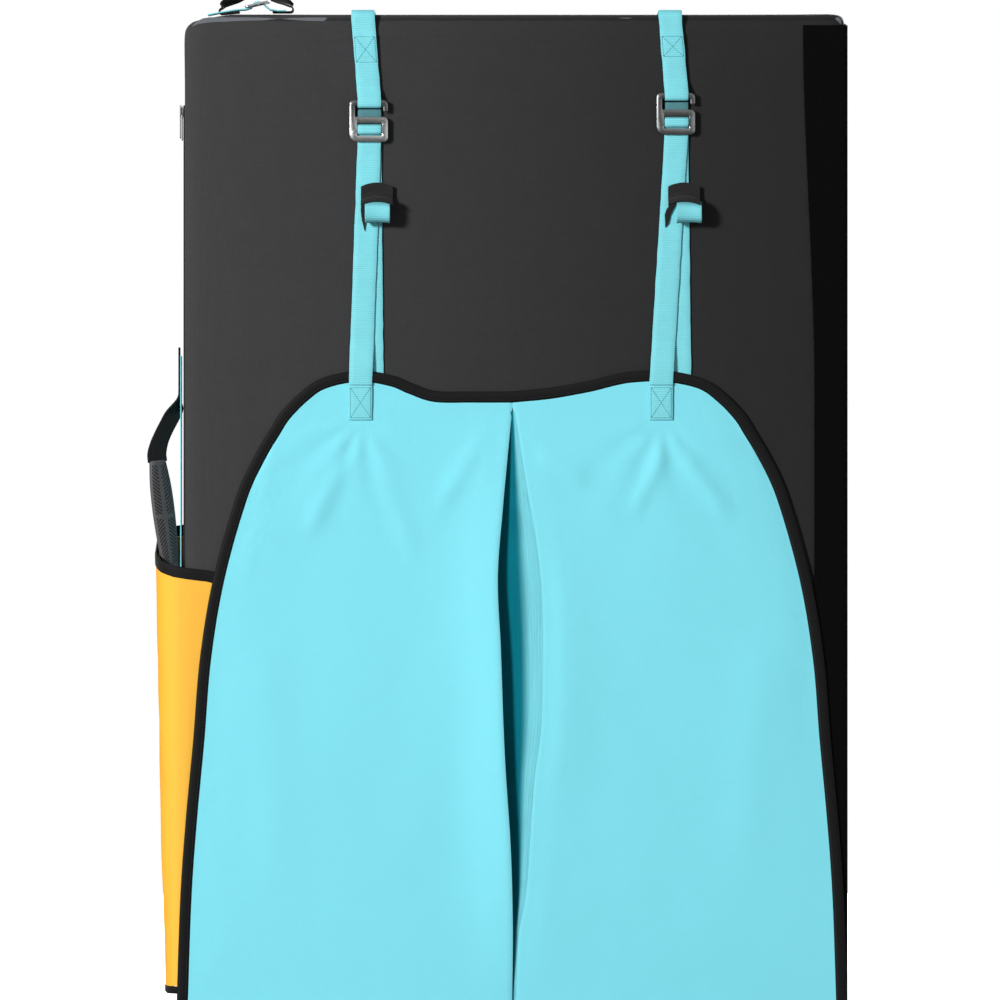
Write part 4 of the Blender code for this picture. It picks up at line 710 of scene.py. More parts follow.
def pleat_painted_shade(look, across):
    """Painted shade: the pleat's cloth is painted dark deep in its fold, near the left panel, whose edge
    shades it.
    """
    return look.step(across, 0.46, 0.76)


def wing_share(look, across):
    """The wing's yellow is deeper where it turns away from the face."""
    return look.step(across, 0.165, 0.235)


def make_looks(props):
    """Makes every material, with the panel's colours."""
    cover, teal, yellow = tuple(props.cover_colour), tuple(props.flap_colour), tuple(props.wing_colour)
    strap = tuple(props.strap_colour)
    black, dark = rgb(15, 15, 16), rgb(19, 19, 20)
    plain = {"ribs": 0.0023, "lines": False}
    LOOKS.update({
        # The cover's cloth has painted light: brighter on the left, darker on the right.
        "cover": woven_look("cover_cloth", cover, 0.0011, mottle=0.10, sheen=0.02, seams=cover_seams,
                            tone=cover_painted_light, gloss=0.14),
        "flap": woven_look("flap_cloth", teal, 0.0009, "UV", mottle=0.03, sheen=0.03, streak=0.010),
        # The pleat's cloth is the flap's turquoise painted 8 % darker, with painted shade deep in its fold.
        "inner": woven_look("pleat_cloth", shade(teal, 0.92), 0.0009, "UV", mottle=0.03, sheen=0.0,
                            streak=0.010, second=(rgb(0, 112, 128), pleat_painted_shade), gloss=0.08),
        "wing": woven_look("wing_cloth", yellow, 0.0009, "UV", mottle=0.04, sheen=0.03, streak=0.010,
                           second=(rgb(250, 178, 38), wing_share)),
        "binding": webbing_look("binding_tape", black, BINDING_W, ribs=0.0012, strength=0.5, gloss=0.10),
        "black_cloth": woven_look("black_cloth", rgb(25, 23, 23), 0.0011, mottle=0.12, sheen=0.05),
        "strap": webbing_look("turquoise_webbing", strap, WEB_W, **plain),
        # The coil's webbing has painted shade on its top and underside.
        "coil": webbing_look("coil_webbing", strap, WEB_W, rolled=True, **plain),
        "black_web": webbing_look("black_webbing", dark, WEB_W, ribs=0.0022, strength=1.4, gloss=0.16),
        "hip_web": webbing_look("belt_webbing", dark, HIP_W, ribs=0.0022, gloss=0.16),
        "pile": pile_look("loop_tape", rgb(7, 7, 7)),
        "metal": metal_look("brushed_aluminium", ALUMINIUM),
        "grip": moulded_look("grip_rubber", rgb(66, 66, 68), 1100, 0.62),
        "side_grip": grip_look("side_grip_rubber", rgb(74, 74, 76)),
        "plastic": moulded_look("buckle_plastic", rgb(28, 28, 29), 1500, 0.45),
        "teal_thread": moulded_look("teal_thread", rgb(58, 150, 162), 2400, 0.7),
        "black_thread": moulded_look("black_thread", rgb(12, 12, 12), 2400, 0.7),
        "foam": foam_look("open_cell_foam", rgb(214, 205, 178), 0.0016),
        "closed_foam": foam_look("closed_cell_foam", rgb(96, 100, 104), 0.0007),
        "zip": zip_look("zip_tape", rgb(18, 18, 19)),
    })
    for side, sizes in STRAPS.items():
        hook_z = sizes["hook_z"]
        # Each side's lower strap has painted shade where it lies in its hook's slot.
        LOOKS[f"strap_lower_{side}"] = webbing_look(f"webbing_lower_{side}", strap, WEB_W,
                                                    shaded=hook_z + 0.0030, **plain)
        # Painted shade on the hooks: the left hook's upper arm is painted dark, the right hook darker all
        # over.
        darker = (hook_z - 0.004, hook_z + 0.026, *sizes["hook_tones"])
        LOOKS[f"hook_{side}"] = metal_look(f"hook_aluminium_{side}", ALUMINIUM, darker)


def zip_look(name, colour):
    """Zip tape with its coil: teeth down the middle, a woven tape at both sides."""
    look = Look(name)
    _, y, z = look.axes("Object")
    middle = look.size(look.size(y) - 0.035)
    coil = look.step(middle, 0.0016, 0.0021, 1.0, 0.0)
    teeth = look.size(look.sine(z * math.pi / 0.0016)) * coil
    weave = look.sine(z * 2 * math.pi / 0.0008) * (1.0 - coil)
    level = 0.9 + teeth * 0.7 + weave * 0.1
    surface = look.toned(colour, level)
    normal = look.bump(teeth + weave * 0.2, 0.0007, 0.9)
    return look.finish(Base_Color=surface, Roughness=0.75 - teeth * 0.3, Normal=normal)


def simulate_fullness(obj, voxel, cap, frames=20):
    """Cloth filled with air: the piece swells, and no point moves more than cap."""
    apply_modifier(obj, "REMESH", mode="VOXEL", voxel_size=voxel, use_smooth_shade=True)
    start = [vert.co.copy() for vert in obj.data.vertices]
    mod = obj.modifiers.new("fill", "CLOTH")
    cloth = mod.settings
    cloth.use_pressure = True
    cloth.uniform_pressure_force = 4.0
    cloth.quality = 4
    cloth.tension_stiffness = 20
    cloth.compression_stiffness = 20
    cloth.effector_weights.gravity = 0.0
    cloth.mass = 0.3
    mod.point_cache.frame_start = 1
    mod.point_cache.frame_end = frames
    scene = bpy.context.scene
    for k in range(1, frames + 1):
        scene.frame_set(k)
    graph = bpy.context.evaluated_depsgraph_get()
    moved = obj.evaluated_get(graph).to_mesh()
    ends = [vert.co.copy() for vert in moved.vertices]
    obj.evaluated_get(graph).to_mesh_clear()
    obj.modifiers.remove(mod)
    for vert, a, b in zip(obj.data.vertices, start, ends):
        step = b - a
        if step.length > cap:
            step = step.normalized() * cap
        vert.co = a + step
    scene.frame_set(1)


def add_block(name, low, high, edge_r, corner_rs):
    """A block with its corners rounded in XZ by corner_rs and its faces' edges by edge_r."""
    x0, y0, z0 = low
    x1, y1, z1 = high
    bpy.ops.object.select_all(action="DESELECT")
    size = (x1 - x0, y1 - y0, z1 - z0)
    place = ((x0 + x1) / 2, (y0 + y1) / 2, (z0 + z1) / 2)
    bpy.ops.mesh.primitive_cube_add(size=1.0, location=place, scale=size)
    bpy.ops.object.transform_apply(location=True, rotation=True, scale=True)
    obj = bpy.context.object
    obj.name = name
    obj.data.name = name
    corners = [(x1, z0), (x1, z1), (x0, z1), (x0, z0)]
    for (x, z), radius in zip(corners, corner_rs):
        bpy.ops.object.mode_set(mode="EDIT")
        bpy.ops.mesh.select_all(action="DESELECT")
        bpy.ops.object.mode_set(mode="OBJECT")
        for edge in obj.data.edges:
            ends = [obj.data.vertices[k].co for k in edge.vertices]
            near = all(abs(p.x - x) < 1e-5 and abs(p.z - z) < 1e-5 for p in ends)
            edge.select = near
        bpy.ops.object.mode_set(mode="EDIT")
        bpy.ops.mesh.select_mode(type="EDGE")
        bpy.ops.mesh.bevel(offset=radius, segments=5, affect="EDGES")
        bpy.ops.object.mode_set(mode="OBJECT")
    apply_modifier(obj, "BEVEL", width=edge_r, segments=3, limit_method="ANGLE",
                   angle_limit=math.radians(50))
    return outward(obj)


def top_drop(x):
    """How far the pad's top lies lower than its full height, near its soft left corner."""
    return TOP_SLOPE_DROP * smoothed((-TOP_SLOPE_X - x) / TOP_SLOPE_W)


def add_cover(kind, way):
    """One half's cloth cover, swollen by its foam, as a closed shell."""
    near, far = sorted((way * (0.0005 + COVER_SWELL), way * (HALF_T - COVER_SWELL)))
    low = (SIDE_X + 0.0012, near, COVER_LOW_Z + 0.0006)
    high = (-SIDE_X - 0.0012, far, PAD_H - 0.0006)
    radii = (CORNER_R, CORNER_R, SLOPE_CORNER_R, CORNER_R)
    obj = add_block(f"{kind}_half_cover", low, high, EDGE_R, radii)
    simulate_fullness(obj, COVER_VOXEL, COVER_SWELL)
    apply_modifier(obj, "SUBSURF", levels=1, render_levels=1)
    box_low, box_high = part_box(f"{kind}_cover")
    for vert in obj.data.vertices:
        co = vert.co
        ripple = noise.noise(Vector((co.x * 14, co.y * 14, co.z * 9))) * 0.0006
        outer = smoothed((abs(co.y) - 0.100) / 0.024)
        co.y -= way * abs(ripple) * outer
        if co.z > PAD_H * 0.9:
            co.z -= top_drop(co.x) * smoothed((co.z - PAD_H * 0.9) / 0.08)
            pucker_z = PAD_H - 0.010 + 0.002 * noise.noise(Vector((co.x * 30, 0, 0)))
            soft = 0.0016 * math.exp(-(((co.z - pucker_z) / 0.0035) ** 2)) * outer
            co.y -= way * soft * (1.0 if co.x < -0.20 else 0.5)
        for axis in range(3):
            co[axis] = min(max(co[axis], box_low[axis] + 0.0001), box_high[axis] - 0.0001)
    finish_piece(obj, LOOKS["cover"], f"{kind}_half", f"{kind}_cover", angle=60)


def add_foams(kind):
    """Landing, core and base foam of one half."""
    for layer, look in (("landing", "closed_foam"), ("core", "foam"), ("base", "closed_foam")):
        node = f"{kind}_{layer}_foam"
        low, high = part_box(node)
        slim = 0.0032 if layer != "core" else 0.0004
        size_low = (low[0] + 0.004, low[1] + slim, low[2] + 0.004)
        size_high = (high[0] - 0.004, high[1] - slim, high[2] - 0.004)
        radii = (0.005, 0.005, SOFT_CORNER_R - 0.004, 0.005)
        obj = add_block(f"{node}_block", size_low, size_high, 0.0015, radii)
        finish_piece(obj, LOOKS[look], f"{kind}_half", node)


def add_fold():
    """The landing cloth's turn between the halves."""
    x = -SIDE_X
    path = [Vector((x - 0.0005, 0.0070, 0)), Vector((x + 0.0004, 0.0040, 0)), Vector((x + 0.0012, 0.0, 0)),
            Vector((x + 0.0004, -0.0040, 0)), Vector((x - 0.0005, -0.0070, 0))]
    curve = Curve(path)
    low, high = COVER_LOW_Z + CORNER_R, PAD_H - CORNER_R

    def place(u, v):
        at = curve.at(u)
        return Vector((at.x + 0.0003 * math.sin(v * 160), at.y, low + (high - low) * v))

    obj = grid("hinge_fold_cloth", 12, 160, place, lambda u, v: (u * 0.015, v * (high - low)))
    thicken(obj, 0.0012)
    ends = ("back_half", "front_half", (x, 0.0055, 0.5), (x, -0.0055, 0.5))
    finish_piece(obj, LOOKS["cover"], ends, "hinge_fold", angle=60)


def add_joining_tape():
    """Hook-and-loop tape down the face's right edge, its pile standing up in small tufts."""
    out = JOIN_T / 2
    bend = arc((-SIDE_X - EDGE_R, FACE_Y + EDGE_R), EDGE_R + FIT + out, -90, -40, 8)

    def edge_x(z):
        return JOIN_LEFT_X - JOIN_LEAN * smoothed((z - JOIN_LEAN_Z) / (JOIN_TOP_Z - JOIN_LEAN_Z))

    def place(u, v):
        z = JOIN_LOW_Z + (JOIN_TOP_Z - JOIN_LOW_Z) * v
        left = Vector((edge_x(z), FACE_Y - FIT - out))
        split = 0.78
        if u < split:
            at = left.lerp(Vector(bend[0]), u / split)
        else:
            share = (u - split) / (1 - split) * (len(bend) - 1)
            k = min(int(share), len(bend) - 2)
            at = Vector(bend[k]).lerp(Vector(bend[k + 1]), share - k)
        tuft = noise.noise(Vector((at.x * 900, z * 900, 3.0))) * 0.00022
        ragged = noise.noise(Vector((z * 300, 0, 7))) * 0.0006 if u == 0 else 0.0
        return Vector((at.x + ragged, at.y - abs(tuft), z))

    obj = grid("joining_strip_tape", 22, 460, place, lambda u, v: (u * 0.044, v * (JOIN_TOP_Z - JOIN_LOW_Z)))
    thicken(obj, JOIN_T * 0.8)
    finish_piece(obj, LOOKS["pile"], "front_half", "joining_strip", angle=60)


def from_shares(shares, width, low_z=0.0):
    """A curve of the flap's plane, given in shares."""
    return Curve([(FLAP_X + width * a, max(FLAP_TOP * b, low_z)) for a, b in shares])


def pucker(x, z, tab_x):
    """How far the cloth stands out in the folds that fan below a sewn strap end."""
    down, across = TAB_LOW_Z - z, x - tab_x
    reach = math.hypot(across, down)
    if down <= 0:
        return 0.0
    start = smoothed((reach - 0.010) / 0.024)
    ridge = math.cos(5 * math.atan2(across, down) + 0.4 * math.sin(reach * 40)) ** 2
    return 0.0026 * start * ridge * math.exp(-reach / 0.075)


def crease(x, z, a, b, width, rise):
    """A soft ridge along the line from a to b."""
    line = Vector(b) - Vector(a)
    at = Vector((x, z)) - Vector(a)
    share = at.dot(line) / line.length_squared
    off = (at - line * min(max(share, 0.0), 1.0)).length
    fade = smoothed(share * 4) * smoothed((1 - share) * 3) if 0 < share < 1 else 0.0
    return rise * fade * math.exp(-((off / width) ** 2))


def flap_relief(x, z, way):
    """How far one panel's cloth stands out in its folds."""
    tab_x = STRAPS["left" if way < 0 else "right"]["tab_x"]
    rise = pucker(x, z, tab_x)
    for a, b, width, height in FLAP_CREASES:
        rise += crease(x, z, a, b, width, height)
    rise += 0.0013 * (0.5 + 0.5 * noise.noise(Vector((x * 9, z * 6, way * 3.0))))
    slant = x * 0.8 + z * 0.6
    rise += 0.00045 * (0.5 + 0.5 * noise.noise(Vector((slant * 34, (z - x) * 9, way * 5.0))))
    return rise


def pleat_lift(v, way):
    """How far the pleat's edge stands off the face, along its height."""
    return (0.0135 if way < 0 else 0.0012) * math.sin(math.pi * min(v * 1.02, 1.0)) ** 0.8


def add_flap_panel(way):
    """One panel of the flap with its soft folds; its pleat edge is turned under."""
    side_name = "left" if way < 0 else "right"
    low = FOLD_Z + FIT
    side = from_shares(SIDE_SHARES, way * FLAP_HALF_W, low)
    top = from_shares(TOP_SHARES if way < 0 else TOP_RIGHT_SHARES, way * FLAP_HALF_W)
    pleat = from_shares(PLEAT_SHARES[way], PLEAT_OPEN, low)
    corners = [side.at(0.0), pleat.at(0.0), side.at(1.0), pleat.at(1.0)]
    middle_y = (FLAP_IN_Y + FLAP_OUT_Y) / 2
    body_share = 0.93
    turn_r, turn_back = 0.0009, 0.012

    def place(u, v):
        across = min(u / body_share, 1.0)
        flat = corners[0].lerp(corners[1], across).lerp(top.at(across), v)
        flat += side.at(v).lerp(pleat.at(v), across)
        low_mid = corners[0].lerp(corners[1], across)
        flat -= low_mid.lerp(corners[2].lerp(corners[3], across), v)
        inside = smoothed(min(across, v, 1 - v) * 7) * smoothed((1 - across) * 12)
        rise = flap_relief(flat.x, flat.y, way) * inside
        away = abs(flat.x - pleat.at(v).x)
        lift = pleat_lift(v, way) * math.exp(-((away / 0.034) ** 1.5))
        at = Vector((flat.x + way * FIT * across, middle_y - rise - lift, flat.y))
        if u > body_share:
            over = (u - body_share) / (1 - body_share)
            angle = math.pi * min(over * 3, 1.0)
            at.x -= way * turn_r * math.sin(angle)
            at.y += turn_r * (1 - math.cos(angle))
            back = max(over - 1 / 3, 0.0) * 1.5 * turn_back
            at.x += way * back
            at.y = min(at.y + back * 0.1, FACE_Y - 0.0014 - 0.0012)
        return at

    obj = grid(f"flap_{side_name}_cloth", 96, 110, place,
               lambda u, v: (u * FLAP_HALF_W, v * FLAP_TOP))
    thicken(obj, 0.0010)
    finish_piece(obj, LOOKS["flap"], "flap", f"flap_{side_name}_panel", angle=70)


def add_flap_underlay():
    """The pleat's inner cloth, from the right panel's crease back under the left panel."""
    low = BASE_T + FIT
    left = from_shares(PLEAT_SHARES[-1], PLEAT_OPEN, low)
    right = from_shares(PLEAT_SHARES[1], PLEAT_OPEN, low)
    back_y = FACE_Y - 0.0011

    def place(u, v):
        v = v * 0.985
        a, b = right.at(v), left.at(v)
        x = b.x - PLEAT_TUCK + (a.x + 0.0004 - b.x + PLEAT_TUCK) * u
        z = b.y + (a.y - b.y) * u
        front = (FLAP_IN_Y + FLAP_OUT_Y) / 2 - pleat_lift(v, 1)
        depth = smoothed(u) ** 1.6
        return Vector((x, back_y + (front - back_y) * depth, z))

    def measure(u, v):
        a, b = right.at(v * 0.985), left.at(v * 0.985)
        wide = a.x + 0.0004 - b.x + PLEAT_TUCK
        return ((wide * u - PLEAT_TUCK) / (wide - PLEAT_TUCK), v * FLAP_TOP)

    obj = grid("flap_pleat_cloth", 26, 110, place, measure)
    thicken(obj, 0.0009)
    finish_piece(obj, LOOKS["inner"], "flap", "flap_pleat_underlay", angle=70)


def tape_along(name, edge, in_y, width, thick):
    """Binding tape outside a curve's edge in XZ: a band folded over the cloth, UV in metres."""
    reach = [0.0]
    for a, b in zip(edge, edge[1:]):
        reach.append(reach[-1] + (b - a).length)
    count = len(edge) - 1
    profile = [(-0.0008, 0.04), (0.0, 0.5), (0.0012, 0.92), (0.25 * width, 1.0), (0.7 * width, 1.0),
               (0.92 * width, 0.85), (width, 0.5), (0.92 * width, 0.1), (0.5 * width, 0.0)]
    steps = len(profile) - 1

    def place(u, v):
        k = round(v * count)
        along = edge[min(k + 1, count)] - edge[max(k - 1, 0)]
        if k in (0, count):
            along = Vector((0, 1 if k == 0 else -1))
        out = Vector((-along.y, along.x)).normalized()
        a, b = profile[round(u * steps)]
        at = edge[k] + out * a
        return Vector((at.x, in_y - thick * b, at.y))

    obj = grid(name, steps, count, place, lambda u, v: (u * width * 1.6, reach[round(v * count)]))
    return thicken(obj, 0.0005)


def flap_edge(per=4):
    """The flap's outline from its lower left to its lower right corner."""
    low = FOLD_Z + FIT
    halves = []
    for way, top_shares in ((-1, TOP_SHARES), (1, TOP_RIGHT_SHARES)):
        half = from_shares(SIDE_SHARES, way * FLAP_HALF_W, low).even(14 * per)
        halves.append(half + from_shares(top_shares, way * FLAP_HALF_W).even(18 * per)[1:])
    return halves[0] + halves[1][-2::-1]


def add_flap_binding():
    """Black tape round the flap's edge with a row of stitches."""
    edge = flap_edge()
    obj = tape_along("flap_binding_tape", edge, FLAP_IN_Y, BINDING_W, BINDING_T)
    finish_piece(obj, LOOKS["binding"], "flap", "flap_binding", angle=60)
    y = FLAP_IN_Y - BINDING_T - 0.0003
    row = []
    for k, point in enumerate(edge):
        along = edge[min(k + 1, len(edge) - 1)] - edge[max(k - 1, 0)]
        out = Vector((-along.y, along.x)).normalized()
        at = point + out * 0.0022
        row.append(Vector((at.x, y, at.y)))
    sew("flap_binding_stitches", list(zip(row, row[1:])), TO_FRONT, LOOKS["black_thread"], "flap",
        "black_webbing")


def add_base_cloth():
    """The panel under the pad, turned a little way up its back."""
    low = BASE_T / 2
    back_y = HALF_T + FIT + BASE_T / 2
    bend = EDGE_R + FIT + BASE_T / 2
    path = [(back_y, BASE_RISE)] + arc((back_y - bend, low + bend), bend, 0, -90, 8)
    path.append((FLAP_IN_Y + FIT, low))
    obj = ribbon("base_cloth", yz(path, FLAP_X), 2 * FLAP_HALF_W, 0.0018, columns=60, step=0.012)
    finish_piece(obj, LOOKS["flap"], "back_half", "base_panel")


def flap_side(z):
    """The flap's half width at a height."""
    share = min(max(z / FLAP_TOP, 0.0), SIDE_SHARES[-1][1])
    for (x0, z0), (x1, z1) in zip(SIDE_SHARES, SIDE_SHARES[1:]):
        if share <= z1:
            return FLAP_HALF_W * (x0 + (x1 - x0) * (share - z0) / (z1 - z0))
    return FLAP_HALF_W * SIDE_SHARES[-1][0]


def wing_path(z):
    """The wing's section at a height, from its seam to under the flap."""
    seam_x = SIDE_X - FIT - WING_T / 2
    front_y = FACE_Y - FIT - WING_T / 2
    rise = min(max((z - WING_LOW_Z) / WING_RISE, 0.0), 1.0)
    bulge = WING_LOW_BULGE + (WING_TOP_BULGE - WING_LOW_BULGE) * rise
    reach = FLAP_X - flap_side(z) - SIDE_X
    path = [(seam_x, WING_SEAM_Y), (seam_x, 0.096)]
    path += [(seam_x - bulge * a, HALF_T * b) for a, b in WING_SIDE_SHARES]
    path += [(SIDE_X + reach * share, front_y) for share in (0.15, 0.6, 1.0)]
    return path


def wing_top(index):
    """The height of the wing's upper edge."""
    k = min(int(index), len(WING_TOP_SHARES) - 2)
    a, b = WING_TOP_SHARES[k], WING_TOP_SHARES[k + 1]
    return WING_LOW_Z + WING_RISE * (a + (b - a) * (index - k))


def wing_point(u, z):
    """A point of the wing at a share of its section."""
    path = wing_path(z)
    index = u * (len(path) - 1)
    k = min(int(index), len(path) - 2)
    pts = [Vector(path[min(max(k + n, 0), len(path) - 1)]) for n in (-1, 0, 1, 2)]
    at = spline_point(*pts, index - k)
    return Vector((at.x, at.y, z))


def add_wing():
    """The yellow pocket cloth round the open side, with its two bindings."""
    count = len(WING_TOP_SHARES) - 1

    def place(u, v):
        low, high = WING_LOW_Z, wing_top(u * count)
        z = low + (high - low) * v
        at = wing_point(u, z)
        inside = smoothed(min(u, 1 - u) * 6) * smoothed(min(v, 1 - v) * 5)
        fold = noise.noise(Vector((u * 9, v * 5, 1.7))) * 0.0022 * inside
        at.x -= abs(fold) if u < 0.75 else 0.0
        return at

    obj = grid("wing_cloth", 84, 70, place, lambda u, v: (u * 0.30, v * WING_RISE))
    thicken(obj, 0.0010)
    ends = ("back_half", "wing", (SIDE_X, WING_SEAM_Y, 0.2), (SIDE_X, 0.080, 0.2))
    finish_piece(obj, LOOKS["wing"], ends, "wing_panel", angle=70)

    def band(name, low, high, node):
        def put(u, v):
            around = v * 2 - 1
            z0, z1 = low(u), high(u)
            z = z0 + (z1 - z0) * (1 - abs(around))
            at = wing_point(u, z)
            ahead, behind = wing_point(min(u + 0.01, 1), z), wing_point(max(u - 0.01, 0), z)
            out = (ahead - behind).cross(Vector((0, 0, 1))).normalized()
            thick = 0.0011 * min(1.0, 4 * abs(around) + 0.25)
            return at + out * (thick if around > 0 else -thick)

        piece = grid(name, 84, 10, put, lambda u, v: (v * 0.024, u * 0.30))
        thicken(piece, 0.0005)
        finish_piece(piece, LOOKS["binding"], ends, node, angle=60)

    band("wing_top_tape", lambda u: wing_top(u * count) + FIT, lambda u: wing_top(u * count) + 0.012,
         "wing_top_binding")
    band("wing_hem_tape", lambda u: WING_LOW_Z - FIT, lambda u: WING_LOW_Z - 0.008, "wing_hem_binding")


def threading(hook_z):
    """The webbing's way through the hook, as y and z."""
    slope = [(PLATE_Y + y, z) for y, z in THREAD_POINTS]
    across = slope + [(y, -z) for y, z in reversed(slope)]
    turn = arc(((LOAD_Y + TAIL_Y) / 2, 0.0200), LAYER / 2, 180, 0, 5)
    return [(y, z + hook_z) for y, z in across + turn]


def lower_path(strap):
    """From the tab up through the hook and down to the tail's end."""
    threaded = threading(strap["hook_z"])
    start_z = TAB_HIGH_Z + FIT
    strand = [(OVER_BINDING_Y, start_z), (OVER_BINDING_Y, FLAP_TOP + BINDING_W + 0.002),
              (LOAD_Y, LOAD_LOW_Z)]
    path = []
    for y, z in strand:
        share = (z - start_z) / (threaded[0][1] - start_z)
        path.append(Vector((strap["tab_x"] + (strap["hook_x"] - strap["tab_x"]) * share, y, z)))
    path += yz(threaded, strap["hook_x"])
    path.append(Vector((strap["hook_x"], TAIL_Y, strap["hook_z"] - HOOK_LOW)))
    path.append(Vector((strap["tail_x"], TAIL_Y, TAIL_END_Z)))
    return path


def drop_path(strap):
    """From the sewn loop round the hook's arm up to the pad's top."""
    z0 = strap["hook_z"]
    turn_z = z0 + HOOK_TOP - HOOK_BAR_H - FIT - WEB_T / 2 + LOOP_R - 2 * FIT
    close_z = z0 + HOOK_TOP + LOOP_NECK
    points = [(TAIL_Y, LOOP_CLOSED_Z), (TAIL_Y, close_z), (PLATE_Y + LOOP_R, z0 + HOOK_TOP)]
    points += arc((PLATE_Y, turn_z), LOOP_R, 0, -180, 8)
    points += [(PLATE_Y - LOOP_R, z0 + HOOK_TOP), (LOAD_Y, close_z), (LOAD_Y, LOOP_CLOSED_Z)]
    points += [(TAIL_Y, LOOP_CLOSED_Z + 3 * WEB_T), (TAIL_Y, PAD_H - EDGE_R - FIT)]
    span = points[-1][1] - points[2][1]
    path = []
    for y, z in points:
        share = min(max((z - points[2][1]) / span, 0.0), 1.0)
        path.append(Vector((strap["hook_x"] + (strap["top_x"] - strap["hook_x"]) * share, y, z)))
    return path


def box_stitch(name, x0, x1, z0, z1, y, body, skew=0.0):
    """A sewn box with a cross in it."""
    a, b = Vector((x0 + skew, y, z0)), Vector((x1 + skew, y, z0))
    c, d = Vector((x1, y, z1)), Vector((x0, y, z1))
    lines = [(a, b), (b, c), (c, d), (d, a), (a, c), (b, d)]
    sew(name, lines, TO_FRONT, LOOKS["teal_thread"], body, "turquoise_fabric", length=0.0019, gap=0.0007,
        width=0.0005)


def add_closing_strap(side, strap):
    """The five lengths of webbing of one strap and the stitches on its tab and loop."""
    x, tab_x = strap["top_x"], strap["tab_x"]
    bend = EDGE_R + FIT + WEB_T / 2
    front_arc = arc((FACE_Y + EDGE_R, PAD_H - EDGE_R), bend, 180, 90, 8)
    over = [front_arc[-1]] + arc((HALF_T - EDGE_R, PAD_H - EDGE_R), bend, 90, 0, 8)
    hook_low = strap["hook_z"] - HOOK_LOW
    back_curl = ("back_half", f"strap_top_{side}", (x, HALF_T, PAD_H), (x, HALF_T - STRAP_CURL, PAD_H))
    front_bend = (f"strap_top_{side}", f"strap_drop_{side}", (x, FACE_Y + EDGE_R, PAD_H),
                  (x, FACE_Y, PAD_H - EDGE_R))
    at_hook = (f"strap_lower_{side}", f"hook_{side}", (x, LOAD_Y, hook_low),
               (x, LOAD_Y, hook_low + HOOK_BEND))
    high, back_y = PAD_H - EDGE_R - FIT, HALF_T + FIT + WEB_T / 2
    tab_y = FLAP_OUT_Y - FIT - WEB_T / 2
    pieces = [
        ("top", yz(over, x), back_curl, "closing_strap_top"),
        ("anchor", yz([(back_y, high), (back_y, high - ANCHOR_L)], x), "back_half", "closing_strap_anchor"),
        ("drop", drop_path(strap) + yz(front_arc, x), front_bend, "closing_strap_drop"),
        ("lower", lower_path(strap), at_hook, "closing_strap_lower"),
        ("tab", yz([(tab_y, TAB_LOW_Z), (tab_y, TAB_HIGH_Z)], tab_x), "flap", "strap_tab"),
    ]
    for word, path, body, node in pieces:
        obj = ribbon(f"closing_{word}_webbing_{side}", path, WEB_W, WEB_T)
        look = LOOKS[f"strap_lower_{side}" if word == "lower" else "strap"]
        finish_piece(obj, look, body, f"{node}_{side}", angle=50)
    half = WEB_W / 2 - STITCH_INSET
    box_stitch(f"tab_stitches_{side}", tab_x - half, tab_x + half, TAB_LOW_Z + TAB_STITCH_INSET,
               TAB_HIGH_Z - TAB_STITCH_INSET, tab_y - WEB_T / 2 - THREAD_RISE, "flap")
    low, top = strap["stitch"]
    span = PAD_H - EDGE_R - strap["hook_z"] - HOOK_TOP

    def at(z):
        return strap["hook_x"] + (x - strap["hook_x"]) * (z - strap["hook_z"] - HOOK_TOP) / span

    skew = at(low) - at(top)
    box_stitch(f"top_stitches_{side}", at(top) - half, at(top) + half, low, top,
               LOAD_Y - WEB_T / 2 - THREAD_RISE, f"strap_drop_{side}", skew)


def arch(obj, middle_x):
    """Draws the upper edge of a coil or keeper down, more so towards the keeper's ends."""
    for vert in obj.data.vertices:
        share = min(abs(vert.co.x - middle_x) / KEEPER_HALF_W, 1.0)
        vert.co.z -= KEEPER_SAG * share**2 * smoothed((vert.co.z - ROLL_Z - 0.001) / 0.009)


def add_roll(side, strap):
    """Surplus webbing wound up in an oval coil."""
    half_h = (ROLL_H - WEB_T) / 2
    flat = (ROLL_D - WEB_T) / (ROLL_H - WEB_T)
    centre_y = LOAD_Y - WEB_T / 2 - FIT - ROLL_D / 2
    steps = 120
    pairs = []
    for k in range(steps + 1):
        share = k / steps
        radius = half_h * (0.30 + 0.70 * share)
        angle = 2 * math.pi * ROLL_TURNS * (1 - share)
        pairs.append((centre_y + flat * radius * math.cos(angle), ROLL_Z + radius * math.sin(angle)))
    obj = ribbon(f"strap_coil_{side}", yz(pairs, strap["roll_x"]), WEB_W * 1.06, WEB_T, cup=-0.0009,
                 columns=12)
    arch(obj, strap["keeper_x"])
    finish_piece(obj, LOOKS["coil"], f"strap_lower_{side}", f"strap_roll_{side}",
                 angle=50)


def add_keeper(side):
    """Black keeper arched over the coil, its ends drawn down."""
    node = f"strap_keeper_{side}"
    obj = copy_of(node, f"keeper_band_{side}", bevel=0.0)
    for axis in (0, 2):
        cut_finely(obj, axis, 0.0015)
    arch(obj, STRAPS[side]["keeper_x"])
    finish_piece(obj, LOOKS["black_cloth"], f"strap_lower_{side}", node, angle=40)


def cut_finely(obj, axis, step):
    """Divides a mesh by planes across one axis, a step apart."""
    values = [vert.co[axis] for vert in obj.data.vertices]
    low, high = min(values), max(values)
    normal = [0.0, 0.0, 0.0]
    normal[axis] = 1.0
    select_only(obj)
    bpy.ops.object.mode_set(mode="EDIT")
    count = int((high - low) / step)
    for k in range(1, count + 1):
        place = [0.0, 0.0, 0.0]
        place[axis] = low + (high - low) * k / (count + 1)
        bpy.ops.mesh.select_all(action="SELECT")
        bpy.ops.mesh.bisect(plane_co=place, plane_no=normal)
    bpy.ops.object.mode_set(mode="OBJECT")


